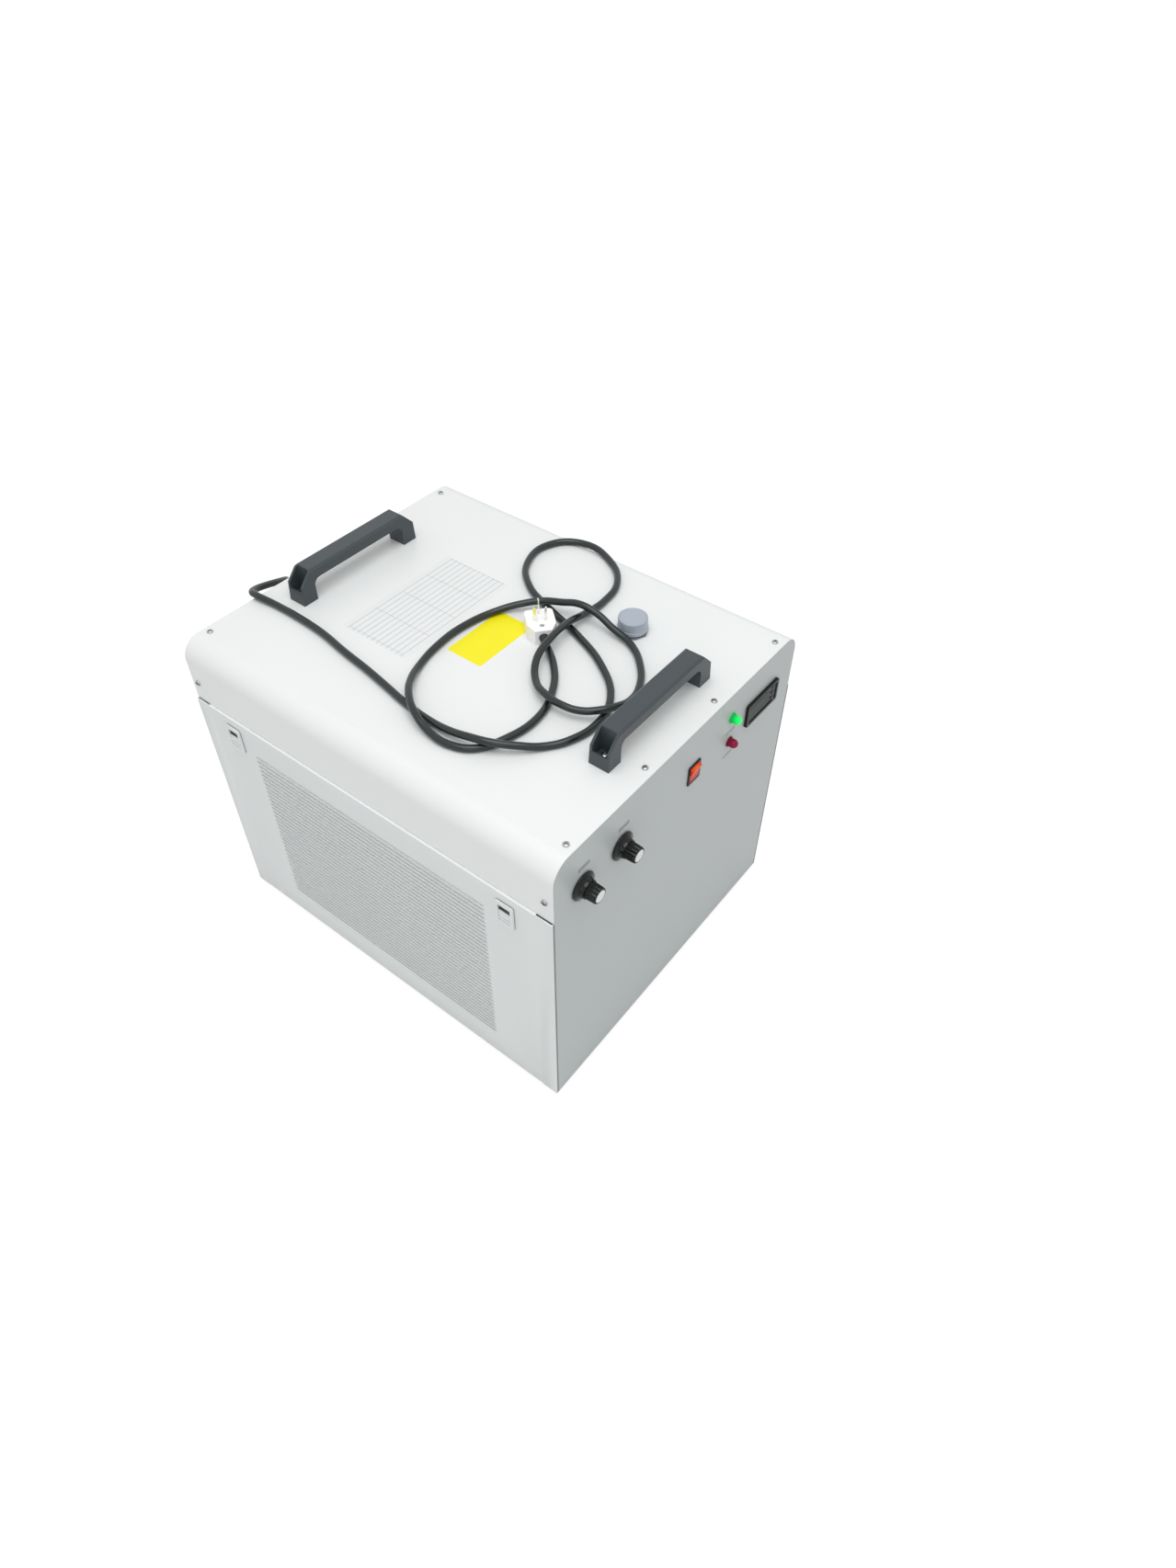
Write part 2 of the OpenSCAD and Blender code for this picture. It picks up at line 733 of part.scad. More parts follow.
module filler_neck() {
    color("slategray") translate([filler_x, filler_y, 0]) difference() {
        union() {
            translate([0, 0, tank_top + seat])
                cylinder(r = neck_d / 2, h = top_z + neck_up - tank_top - seat);
            translate([0, 0, top_z]) cylinder(r = ring_d / 2, h = ring_t, $fn = 8);
        }
        translate([0, 0, tank_top - over]) cylinder(r = neck_d / 2 - neck_wall, h = cabinet_h);
    }
}

module filler_gasket() {
    color("dimgray") translate([filler_x, filler_y, top_z + ring_t]) difference() {
        cylinder(r = cap_d / 2 - gasket_t, h = gasket_t);
        translate([0, 0, -over]) cylinder(r = neck_d / 2 + 2 * seat, h = gasket_t + 2 * over);
    }
}

cap_z = top_z + ring_t + gasket_t;
cap_top_t = 3;
cap_rim = 2;
cap_dish = 1;
cap_collar_h = 5;
cap_shrink = 0.5;

module filler_cap() {
    color("lightsteelblue") translate([filler_x, filler_y, cap_z]) difference() {
        union() {
            cylinder(r = cap_d / 2, h = cap_collar_h);
            cylinder(r = cap_d / 2 - cap_shrink, h = cap_h);
        }
        translate([0, 0, -over]) cylinder(r = neck_d / 2 + seat, h = cap_h - cap_top_t + over);
        translate([0, 0, cap_h - cap_dish]) cylinder(r = cap_d / 2 - cap_rim, h = cap_dish + over);
    }
}

// Cooling coil: one helix of copper pipe in the tank, both tails up through the lid
coil_r = 70;
coil_turns = 6;
coil_steps = 24;
coil_pitch = 30;
coil_foot_h = 60;
coil_low = tank_z + coil_foot_h;
coil_x = tank_x + tank_w / 2;
coil_y = tank_y + tank_d / 2;
coil_tail = 24;
coil_top = coil_low + coil_pitch * coil_turns;
coil_in = [coil_x - coil_r, coil_y - coil_r / 4];
// The riser goes down in front of the filler neck, inside the coil
riser_gap = 22;
coil_out = [coil_x, filler_y - neck_d / 2 - riser_gap];
// The way from the riser out to the first turn: shares of the way across and back, and of a pitch down
coil_entry_shares = [[0.08, -0.02, 0.4], [0.25, -0.1, 0.67], [0.58, -0.12, 0.67], [0.87, 0.3, 0.27]];
coil_path = concat(
    [[coil_out[0], coil_out[1], tank_top + coil_tail], [coil_out[0], coil_out[1], coil_low]],
    [for (e = coil_entry_shares) [coil_out[0] + e[0] * coil_r,
        coil_out[1] + e[1] * (coil_y - coil_out[1]), coil_low - e[2] * coil_pitch]],
    [for (k = [0:coil_turns * coil_steps - coil_steps / 2]) let (a = 360 * k / coil_steps)
        [coil_x + coil_r * cos(a), coil_y + coil_r * sin(a), coil_low + coil_pitch * k / coil_steps]],
    [[coil_in[0], coil_y - coil_r / 6, coil_top - coil_pitch * 0.4], [coil_in[0], coil_in[1], coil_top],
     [coil_in[0], coil_in[1], tank_top + coil_tail]]);

module cooling_coil() {
    color("peru") swept(coil_path, coil_pipe_r, 6);
}

// Thermostat: case with a bezel, a glass window and three keys
thermo_out = 4.5;
thermo_corner = 2;
glass_w = 44;
glass_h = 20;
glass_t = 1.2;
glass_shift = 10;
glass_x = thermo_x - glass_shift;
key_shift = 25;
key_x = thermo_x + key_shift;
key_r = 2.4;
key_out = 1.2;
key_bore = 5;
key_travel = 0.8;
key_pitch = 9;

module thermostat_case() {
    color("black") difference() {
        union() {
            upright(front_y - thermo_out, thermo_out) translate([thermo_x, thermo_z])
                round_rect(thermo_w, thermo_h, thermo_corner);
            upright(front_y, thermo_depth) translate([thermo_x, thermo_z])
                square([thermo_cut_w - 2 * seat, thermo_cut_h - 2 * seat], center = true);
        }
        upright(front_y - thermo_out - over, glass_t + over) translate([glass_x, thermo_z])
            square([glass_w, glass_h], center = true);
        for (k = [-1:1]) rod_y(key_x, front_y - thermo_out - over, thermo_z + k * key_pitch,
            key_r + running, key_bore + over);
    }
}

module thermostat_window() {
    color("darkred") upright(front_y - thermo_out, glass_t) translate([glass_x, thermo_z])
        square([glass_w - 2 * running, glass_h - 2 * running], center = true);
}

module thermostat_key(place) {
    color("dimgray") rod_y(key_x, front_y - thermo_out - key_out, thermo_z + place * key_pitch,
        key_r, key_out + key_bore - key_travel - 2 * running);
}
module set_key() { thermostat_key(1); }
module up_key() { thermostat_key(0); }
module down_key() { thermostat_key(-1); }

// Rocker switch, its upper half standing out
switch_out = 2;
switch_depth = 24;
switch_corner = 2;
rocker_w = 19;
rocker_r = 11.8;
rocker_tilt = 10;
rocker_inset = 4;
rocker_face = 4.3;
rocker_back = 3.2;
rocker_room = 5.6;
rocker_pin_r = 1.5;
rocker_pin_len = 0.8;
pivot_y = front_y - switch_out + rocker_inset;

module switch_housing() {
    color("black") difference() {
        union() {
            upright(front_y - switch_out, switch_out) translate([switch_x, switch_z])
                round_rect(switch_w, switch_h, switch_corner);
            upright(front_y, switch_depth) translate([switch_x, switch_z])
                square([switch_cut_w - 2 * seat, switch_cut_h - 2 * seat], center = true);
        }
        box(switch_x - rocker_w / 2 - 2 * running, front_y - switch_out - over,
            switch_z - rocker_r - 2 * running, rocker_w + 4 * running,
            over + rocker_inset + rocker_room, 2 * rocker_r + 4 * running);
        rod_x(switch_x - rocker_w / 2 - rocker_pin_len - running, pivot_y, switch_z,
            rocker_pin_r + running, rocker_w + 2 * rocker_pin_len + 2 * running);
    }
    color("silver") for (k = [-1:1]) box(switch_x - rocker_pin_r, front_y + switch_depth,
        switch_z + k * rocker_r / 2, 2 * rocker_pin_r, switch_depth / 3, rocker_pin_len);
}

module switch_rocker() {
    rise = rocker_r * tan(rocker_tilt);
    color("red") translate([switch_x, pivot_y, switch_z]) rotate([rocker_tilt, 0, 0]) {
        intersection() {
            rod_x(-rocker_w / 2, 0, 0, rocker_r, rocker_w);
            translate([-rocker_w / 2, 0, 0]) rotate([90, 0, 90]) linear_extrude(rocker_w)
                polygon([[rocker_back, -rocker_r], [-rocker_face - rise, -rocker_r], [-rocker_face, 0],
                    [-rocker_face - rise, rocker_r], [rocker_back, rocker_r]]);
        }
        rod_x(-rocker_w / 2 - rocker_pin_len, 0, 0, rocker_pin_r, rocker_w + 2 * rocker_pin_len);
    }
}

// Turns its children to stand out from the front or from the back
module on_front(x, z) { translate([x, front_y, z]) rotate([90, 0, 0]) children(); }
module on_back(x, z) { translate([x, back_y, z]) rotate([-90, 0, 0]) children(); }

// Indicator lamp: collar, domed lens, threaded tail and nut
lamp_out = 13;
lamp_collar_r = 7.2;
lamp_collar_h = 2;
lamp_tail = 22;
lamp_nut_r = 6.8;
lamp_nut_h = 4;

module lamp(z) {
    on_front(lamp_x, z) {
        cylinder(r = lamp_collar_r, h = lamp_collar_h);
        cylinder(r = lamp_d / 2, h = lamp_out - lamp_d / 2);
        translate([0, 0, lamp_out - lamp_d / 2]) sphere(lamp_d / 2);
        translate([0, 0, -lamp_tail]) cylinder(r = lamp_thread_r, h = lamp_tail);
        translate([0, 0, -sheet - lamp_nut_h]) cylinder(r = lamp_nut_r, h = lamp_nut_h, $fn = 6);
    }
}
module green_lamp() { color("green") lamp(green_z); }
module red_lamp() { color("darkred") lamp(red_z); }

// Dial knob: flared skirt, waist, fluted grip and a silver cap in its face
knob_lift = 1;
shaft_r = 3;
knob_face_t = 5;
knob_cap_r = 8.2;
knob_cap_t = 1.2;
knob_hollow_r = 12;
knob_hollow_h = 5.8;
waist_h = 8;
waist_r = 12.8;
skirt_edge = 2;
flutes = 18;
flute_r = 1;
notch_w = 1.6;

module knob(x) {
    grip = knob_grip_d / 2;
    on_front(x, knob_z) difference() {
        rotate_extrude() polygon([[0, knob_lift], [knob_d / 2, knob_lift],
            [knob_d / 2, knob_lift + skirt_edge], [waist_r + skirt_edge, knob_lift + 2 * skirt_edge],
            [waist_r, waist_h], [grip, waist_h + skirt_edge], [grip, knob_out - knob_cap_t],
            [grip - knob_cap_t, knob_out], [0, knob_out]]);
        cylinder(r = knob_hollow_r, h = knob_hollow_h);
        cylinder(r = shaft_r + running, h = knob_out - knob_face_t);
        translate([0, 0, knob_out - knob_cap_t]) cylinder(r = knob_cap_r, h = 2 * knob_cap_t);
        for (k = [1:flutes]) rotate([0, 0, 360 * k / flutes])
            translate([grip + flute_r / 2, 0, waist_h + flute_r])
                cylinder(r = flute_r, h = knob_out, $fn = 16);
        translate([-notch_w / 2, -grip - over, knob_out - knob_face_t])
            cube([notch_w, notch_w + over, knob_out]);
    }
}
module left_knob() { color("black") knob(left_knob_x); }
module right_knob() { color("black") knob(right_knob_x); }

module knob_cap(x) {
    on_front(x, knob_z) translate([0, 0, knob_out - knob_cap_t])
        cylinder(r = knob_cap_r - running, h = knob_cap_t);
}
module left_knob_cap() { color("silver") knob_cap(left_knob_x); }
module right_knob_cap() { color("silver") knob_cap(right_knob_x); }

// Regulator behind each knob: body, bush through the panel, nut in front
regulator_r = 12;
regulator_h = 15;
bush_h = 5;
nut_r = 7.5;
nut_h = 2.5;
shaft_in = 11;
lug_w = 2.5;
lug_t = 0.8;

module regulator(x) {
    on_front(x, knob_z) difference() {
        union() {
            translate([0, 0, -sheet - regulator_h]) cylinder(r = regulator_r, h = regulator_h);
            translate([0, 0, -sheet - over]) cylinder(r = bush_r, h = bush_h + sheet + over);
            cylinder(r = nut_r, h = nut_h, $fn = 6);
            for (k = [-1:1])
                translate([(2 * k - 0.5) * lug_w, -regulator_r - lug_w, -sheet - regulator_h / 2])
                    cube([lug_w, 2 * lug_w, lug_t]);
        }
        translate([0, 0, -sheet - shaft_in]) cylinder(r = shaft_r + running, h = shaft_in + 2 * bush_h);
    }
}
module left_control() { color("dimgray") regulator(left_knob_x); }
module right_control() { color("dimgray") regulator(right_knob_x); }

module knob_shaft(x) {
    on_front(x, knob_z) translate([0, 0, -sheet - shaft_in + seat])
        cylinder(r = shaft_r, h = sheet + shaft_in + knob_out - knob_face_t - 2 * seat);
}
module left_shaft() { color("silver") knob_shaft(left_knob_x); }
module right_shaft() { color("silver") knob_shaft(right_knob_x); }

// Cable gland with a tapered strain relief; the lead starts at its end
gland_hex_r = 12;
gland_hex_h = 5;
gland_dome_r = 10;
gland_dome_h = 13;
gland_tail = 14;
relief_len = 36;
relief_wide_r = 8;
relief_end_r = 5.8;

module cable_gland() {
    color("black") on_back(gland_x, gland_z) {
        translate([0, 0, -gland_tail]) cylinder(r = gland_r, h = gland_tail);
        translate([0, 0, -sheet - gland_hex_h]) cylinder(r = gland_hex_r, h = gland_hex_h, $fn = 6);
        cylinder(r = gland_hex_r, h = gland_hex_h, $fn = 6);
        cylinder(r = gland_dome_r, h = gland_dome_h);
        cylinder(r1 = relief_wide_r, r2 = relief_end_r, h = relief_len);
    }
}

// Plug lying on the cover with its blades up: place of its lead end, and its heading
plug_x = 30;
plug_y = -60.5;
plug_turn = 49;
plug_lift = 0.3;
plug_neck = 11;
plug_shoulder = 14;
plug_corner = 6;
plug_edge = 1.5;
boot_len = 10;
boot_z = 9.7;
boot_r = 6;
boot_end_r = 5;
blade_w = 6.3;
blade_t = 1.6;
blade_in = 5;
line_blade_len = 17.5;
earth_blade_len = 20.5;
line_along = 24;
line_across = 6.86;
earth_along = 38.3;
blade_slant = 30;

module at_plug() {
    translate([plug_x, plug_y, top_z + plug_lift]) rotate([0, 0, plug_turn]) children();
}

module plug_outline(inset) {
    half = plug_w / 2 - inset;
    far = plug_len - inset;
    c = plug_corner;
    polygon([[inset, -plug_neck], [plug_shoulder, -half], [far - c, -half], [far, c - half],
        [far, half - c], [far - c, half], [plug_shoulder, half], [inset, plug_neck]]);
    for (s = [-1, 1]) translate([far - c, s * (half - c)]) circle(c);
}

module blade_places(z) {
    for (s = [-1, 1]) translate([line_along, s * line_across, z]) rotate([0, 0, s * blade_slant])
        blade(line_blade_len);
    translate([earth_along, 0, z]) blade(earth_blade_len);
}

module blade(length) {
    translate([-blade_w / 2, -blade_t / 2, -blade_in]) cube([blade_w, blade_t, length + blade_in]);
}

module plug() {
    color("white") at_plug() difference() {
        union() {
            translate([0, 0, plug_edge]) linear_extrude(plug_t - 2 * plug_edge) plug_outline(0);
            linear_extrude(plug_t) plug_outline(plug_edge);
            translate([-boot_len, 0, boot_z]) rotate([0, 90, 0])
                cylinder(r1 = boot_end_r, r2 = boot_r, h = boot_len + plug_edge);
        }
        blade_places(plug_t);
    }
}

module plug_blades() { color("gold") at_plug() blade_places(plug_t); }

// Route of the lead, from the strain relief over the back edge and along the cover to the plug.
// Each point is X, Y and the height above the cover; the points were chosen by eye.
lead = [
    [-20, 336, -116], [-20, 340, -116], [-24, 358.5, -112.4], [-29, 374, -101], [-33, 379, -84],
    [-36, 373, -66], [-40, 360, -51], [-46, 346, -38], [-58, 333, -26], [-76, 325, -16],
    [-97, 321, -8], [-115, 317, -2], [-127, 308, 3.5], [-130, 295, 6.3], [-127, 262, 5], [-127, 216, 5],
    [-130, 171, 5], [-139, 119, 5], [-146, 71, 5], [-154, 28, 5], [-161, -8, 5],
    [-165, -45, 5], [-167, -80, 9], [-165, -110, 14.5], [-157, -137, 15.5], [-140, -160, 11],
    [-117, -181, 5], [-90, -198, 5], [-50, -205, 5], [-4, -190, 5], [38, -143, 5],
    [66, -84, 5], [85, -28, 5], [109, 29, 5], [150, 66, 5], [200, 70, 5],
    [232, 35, 5], [222, -20, 5], [185, -60, 5], [142, -70, 5], [102, -70, 9],
    [64, -71, 17], [22, -77, 21], [-12, -84, 16], [-40, -105, 10.5], [-56, -133, 15],
    [-59, -160, 15], [-53, -182, 14], [-40, -200, 15.5], [-20, -211, 13.5], [5, -213, 7],
    [32, -206, 5], [66, -183, 5], [91, -150, 6], [96, -119, 12], [99, -91, 20.5],
    [97, -65, 24.5], [92, -40, 19], [83, -16, 15.5], [69, 2, 12], [44, 24, 6],
    [-10, 39, 5], [-59, 38, 5], [-100, 29, 5], [-131, 13, 11], [-154, -7, 15.5],
    [-171, -31, 15], [-181, -65, 7], [-180, -98, 5], [-166, -123, 5], [-136, -138, 5],
    [-87, -145, 5], [-38, -129, 5], [0, -100, 6]
];
lead_start = [gland_x, back_y + relief_len, gland_z];
lead_end = [plug_x - boot_len * cos(plug_turn), plug_y - boot_len * sin(plug_turn),
    top_z + plug_lift + boot_z];
lead_route = concat([lead_start], [for (i = [1:len(lead) - 1]) lead[i] + [0, 0, top_z]], [lead_end]);

module cord() {
    color("black") swept(lead_route, cord_d / 2, 10);
}

// Water fittings: a hex flange, a ringed barb and its plain tip outside, a nut and a hose tail inside
fitting_hex_r = 13;
fitting_hex_h = 6;
fitting_tail = 36;
barb_rings = 2;
barb_rise = 1;

module water_fitting(z) {
    on_back(port_x, z) difference() {
        union() {
            cylinder(r = fitting_hex_r, h = fitting_hex_h, $fn = 6);
            cylinder(r = barb_d / 2 - barb_rise, h = fitting_out);
            for (k = [1:barb_rings]) translate([0, 0, k * fitting_hex_h])
                cylinder(r1 = barb_d / 2, r2 = barb_d / 2 - barb_rise, h = fitting_hex_h);
            translate([0, 0, -sheet - fitting_hex_h])
                cylinder(r = fitting_hex_r, h = fitting_hex_h, $fn = 6);
            translate([0, 0, -2 * sheet - fitting_hex_h]) cylinder(r = barb_d / 2, h = 2 * fitting_hex_h);
            translate([0, 0, -fitting_tail]) cylinder(r = spigot_r, h = fitting_tail);
        }
        translate([0, 0, -fitting_tail - over]) cylinder(r = spigot_r * barb_bore_share,
            h = fitting_tail + fitting_out + 2 * over);
    }
}
module water_inlet() { color("goldenrod") water_fitting(inlet_z); }
module water_outlet() { color("goldenrod") water_fitting(outlet_z); }

// Drain valve: body with a cross bore, and a bar handle on a stem
drain_r = 7;
drain_z = spigot_z;
stem_r = 2.5;
stem_in = 4;
stem_up = 9;
bar_len = 18;
bar_w = 6;
bar_h = 4;

module drain_valve() {
    color("goldenrod") on_back(drain_x, drain_z) difference() {
        union() {
            cylinder(r = fitting_hex_r, h = fitting_hex_h / 2, $fn = 6);
            cylinder(r = drain_r, h = fitting_out);
            translate([0, 0, -sheet - fitting_hex_h])
                cylinder(r = fitting_hex_r, h = fitting_hex_h, $fn = 6);
            translate([0, 0, -fitting_tail]) cylinder(r = spigot_r, h = fitting_tail);
            translate([0, 0, -sheet - over]) cylinder(r = drain_r, h = sheet + 2 * over);
        }
        translate([0, 0, -fitting_tail - over]) cylinder(r = spigot_r / 2, h = fitting_tail + 2 * over);
        translate([0, 0, fitting_out - fitting_hex_h]) cylinder(r = spigot_r / 2, h = 2 * fitting_hex_h);
        translate([0, 0, fitting_out / 2]) rotate([90, 0, 0])
            translate([0, 0, drain_r - stem_in - seat]) cylinder(r = stem_r + running, h = 2 * drain_r);
    }
}

module drain_handle() {
    color("firebrick") translate([drain_x, back_y + fitting_out / 2, drain_z]) {
        translate([0, 0, drain_r - stem_in]) cylinder(r = stem_r, h = stem_in + stem_up - drain_r + bar_h);
        translate([-bar_len / 2, -bar_w / 2, stem_up]) cube([bar_len, bar_w, bar_h]);
    }
}

// Fan: square frame with a round bore, struts to a hub, a bladed rotor and a wire guard
fan_wall = 4;
fan_r = fan_size / 2 * fan_bore_share;
hub_r = 32;
hub_gap = 1.5;
hub_plate = 8;
strut_w = 8;
struts = 4;
blades = 7;
blade_pitch = 38;
blade_sheet = 2.5;
blade_clear = 3;
axle_r = 4;
fan_y = back_y - sheet - fan_depth;

module in_fan() { translate([fan_x, fan_y, fan_z]) rotate([-90, 0, 0]) children(); }

module fan_frame() {
    color("dimgray") difference() {
        in_fan() {
            difference() {
                translate([-fan_size / 2, -fan_size / 2, 0]) cube([fan_size, fan_size, fan_depth]);
                translate([0, 0, -over]) cylinder(r = fan_r, h = fan_depth + 2 * over);
                for (s = [0:3]) rotate([0, 0, 90 * s]) translate([-fan_r / 2, fan_r + fan_wall, fan_wall])
                    cube([fan_r, fan_size, fan_depth - 2 * fan_wall]);
            }
            cylinder(r = hub_r, h = hub_plate);
            for (s = [0:struts - 1]) rotate([0, 0, 360 * (s + 0.5) / struts])
                translate([-strut_w / 2, 0, 0]) cube([strut_w, fan_r + over, hub_plate / 2]);
        }
        in_fan() translate([0, 0, -over]) cylinder(r = axle_r + running, h = hub_plate + 2 * over);
        fan_screw_places() rod_y(0, fan_y - over, 0, screw_fit_r, fan_depth + 2 * over);
    }
}

module fan_rotor() {
    rotor_low = hub_plate + hub_gap;
    rotor_h = fan_depth - rotor_low - blade_clear;
    color("black") in_fan() {
        translate([0, 0, rotor_low]) cylinder(r = hub_r, h = rotor_h);
        translate([0, 0, seat]) cylinder(r = axle_r, h = rotor_low);
        intersection() {
            translate([0, 0, rotor_low]) cylinder(r = fan_r - blade_clear, h = rotor_h);
            union() for (k = [1:blades]) rotate([0, 0, 360 * k / blades])
                translate([0, 0, rotor_low + rotor_h / 2]) rotate([0, blade_pitch, 0])
                    translate([-rotor_h, 0, -blade_sheet / 2]) cube([2 * rotor_h, fan_r, blade_sheet]);
        }
    }
}

guard_rings = 6;
guard_wire = 2.5;
guard_out = 5;
guard_lug_r = 8;
guard_spokes = 4;

module fan_guard() {
    color("silver") difference() {
        on_back(fan_x, fan_z) {
            for (k = [1:guard_rings]) translate([0, 0, guard_out]) difference() {
                cylinder(r = fan_r * k / guard_rings + guard_wire / 2, h = guard_wire);
                translate([0, 0, -over])
                    cylinder(r = fan_r * k / guard_rings - guard_wire / 2, h = guard_wire + 2 * over);
            }
            for (s = [0:guard_spokes - 1]) rotate([0, 0, 360 * (s + 0.5) / guard_spokes]) {
                translate([-guard_wire / 2, 0, guard_out - guard_wire])
                    cube([guard_wire, fan_size / 2 * fan_screw_share * sqrt(2), guard_wire + over]);
                translate([0, fan_size / 2 * fan_screw_share * sqrt(2), 0])
                    cylinder(r = guard_lug_r, h = guard_out);
            }
        }
        fan_screw_places() rod_y(0, back_y - over, 0, screw_fit_r, fan_depth);
    }
}

// Condenser: finned block on a plinth, with return bends and pipe stubs
condenser_x = fan_x - condenser_w / 2;
condenser_gap = 10;
condenser_y = fan_y - condenser_gap - condenser_t;
plinth_h = 15;
condenser_z = pan_z + plinth_h;
fin_pitch = 9;
fin_gap = 4;
fin_cut = condenser_t * 0.35;
fin_rows = floor((condenser_w - 4 * fin_gap) / fin_pitch);
bend_r = 10;
bend_rows = 6;
copper_r = 4;
stub_len = 12;
header_in = 20;
condenser_pipe_x = condenser_x + condenser_w - header_in;
condenser_mid_y = condenser_y + condenser_t / 2;
pipe_high_z = condenser_z + condenser_h - header_in;
pipe_low_z = condenser_z + header_in;

module condenser() {
    color("darkgray") {
        difference() {
            box(condenser_x, condenser_y, condenser_z, condenser_w, condenser_t, condenser_h);
            for (k = [0:fin_rows - 1]) for (y = [condenser_y - over, condenser_y + condenser_t - fin_cut])
                box(condenser_x + 2 * fin_gap + k * fin_pitch, y, condenser_z + fin_pitch,
                    fin_gap, fin_cut + over, condenser_h - 2 * fin_pitch);
        }
        box(condenser_x, condenser_y, pan_z, condenser_w, condenser_t, condenser_z - pan_z + over);
    }
    color("peru") {
        for (k = [0:bend_rows - 1])
            translate([condenser_x, condenser_mid_y, condenser_z + condenser_h * (k + 0.5) / bend_rows])
                rotate([90, 0, 0]) rotate_extrude() translate([bend_r, 0]) circle(copper_r, $fn = 24);
        for (z = [pipe_high_z, pipe_low_z])
            rod_y(condenser_pipe_x, condenser_y - stub_len, z, copper_r, stub_len + over);
    }
}

// Compressor: domed shell on a foot plate, with two stubs and a terminal cover
compressor_from_left = 92;
compressor_from_front = 120;
compressor_x = -side_x + compressor_from_left;
compressor_y = front_y + compressor_from_front;
mount_h = 12;
mount_r = 11;
mount_hole_r = 4;
plate_t = 3;
plate_share = 0.84;
plate_half = compressor_d / 2 * plate_share;
mount_share = 0.8;
shell_z = pan_z + mount_h + plate_t;
dome_share = 0.22;
stub_share = 0.55;
stub_z = shell_z + compressor_h * stub_share;
stub_x = 30;
stub_end_y = compressor_y + compressor_d / 2 + stub_len;
terminal_w = 50;
terminal_t = 22;
terminal_h = 60;

module mount_places() {
    reach = plate_half * mount_share;
    for (x = [-1, 1]) for (y = [-1, 1])
        translate([compressor_x + x * reach, compressor_y + y * reach, 0]) children();
}

module compressor() {
    r = compressor_d / 2;
    dome = compressor_h * dome_share;
    color("black") difference() {
        union() {
            translate([compressor_x, compressor_y, shell_z]) {
                cylinder(r = r, h = compressor_h - dome);
                translate([0, 0, compressor_h - dome]) rotate_extrude() intersection() {
                    translate([0, dome - dome_sphere(r, dome)]) circle(dome_sphere(r, dome), $fn = 96);
                    square([r, dome]);
                }
                translate([-plate_half, -plate_half, -plate_t])
                    cube([2 * plate_half, 2 * plate_half, plate_t + over]);
                translate([-terminal_w / 2, -r - terminal_t / 2, terminal_h / 2])
                    cube([terminal_w, terminal_t, terminal_h]);
            }
            for (s = [-1, 1]) rod_y(compressor_x + s * stub_x, compressor_y, stub_z, copper_r,
                stub_end_y - compressor_y);
        }
        mount_places() cylinder(r = mount_hole_r + running, h = shell_z + over);
    }
}
function dome_sphere(r, h) = (r * r + h * h) / (2 * h);

module compressor_mounts() {
    color("dimgray") mount_places() {
        translate([0, 0, pan_z]) cylinder(r = mount_r, h = mount_h);
        translate([0, 0, pan_z]) cylinder(r = mount_hole_r, h = mount_h + plate_t);
    }
}

// Pump: motor with a head in front, axial inlet, upright outlet and a foot plate
pump_x = spigot_x;
head_t = 26;
pump_gap = 22;
pump_y = tank_y + tank_d + spigot_len + pump_gap + spigot_len;
pump_z = spigot_z;
head_rim = 4;
head_r = pump_d / 2 + head_rim;
pump_top = pump_z + head_r + spigot_len;
pump_foot_w = 80;

module pump() {
    color("steelblue") difference() {
        union() {
            rod_y(pump_x, pump_y, pump_z, head_r, head_t);
            rod_y(pump_x, pump_y + head_t - over, pump_z, pump_d / 2, pump_len - head_t + over);
            rod_y(pump_x, pump_y - spigot_len, pump_z, spigot_r, spigot_len + over);
            translate([pump_x, pump_y + head_t / 2, pump_z]) cylinder(r = spigot_r, h = head_r + spigot_len);
            box(pump_x - pump_foot_w / 2, pump_y + head_t, pan_z, pump_foot_w, pump_len - head_t, plate_t);
            for (s = [-1, 1]) box(pump_x + s * pump_d / 4 - plate_t / 2, pump_y + head_t, pan_z,
                plate_t, pump_len - head_t, pump_z - pan_z - pump_d / 4);
        }
        rod_y(pump_x, pump_y - spigot_len - over, pump_z, spigot_r * barb_bore_share,
            spigot_len + head_t / 2);
        translate([pump_x, pump_y + head_t / 2, pump_z])
            cylinder(r = spigot_r * barb_bore_share, h = head_r + spigot_len + over);
    }
}

// Water hoses pushed over their spigots: tank to pump, pump to outlet, inlet to lid, tank to drain
hose_r = 9;
hose_bend = 25;
hose_grip = 10;
tail_y = back_y - fitting_tail;
hose_end_y = tail_y + hose_grip;
hose_rise = 62;
hose_high_z = tank_top + hose_rise;

module hose(points) { swept(points, hose_r, 12); }

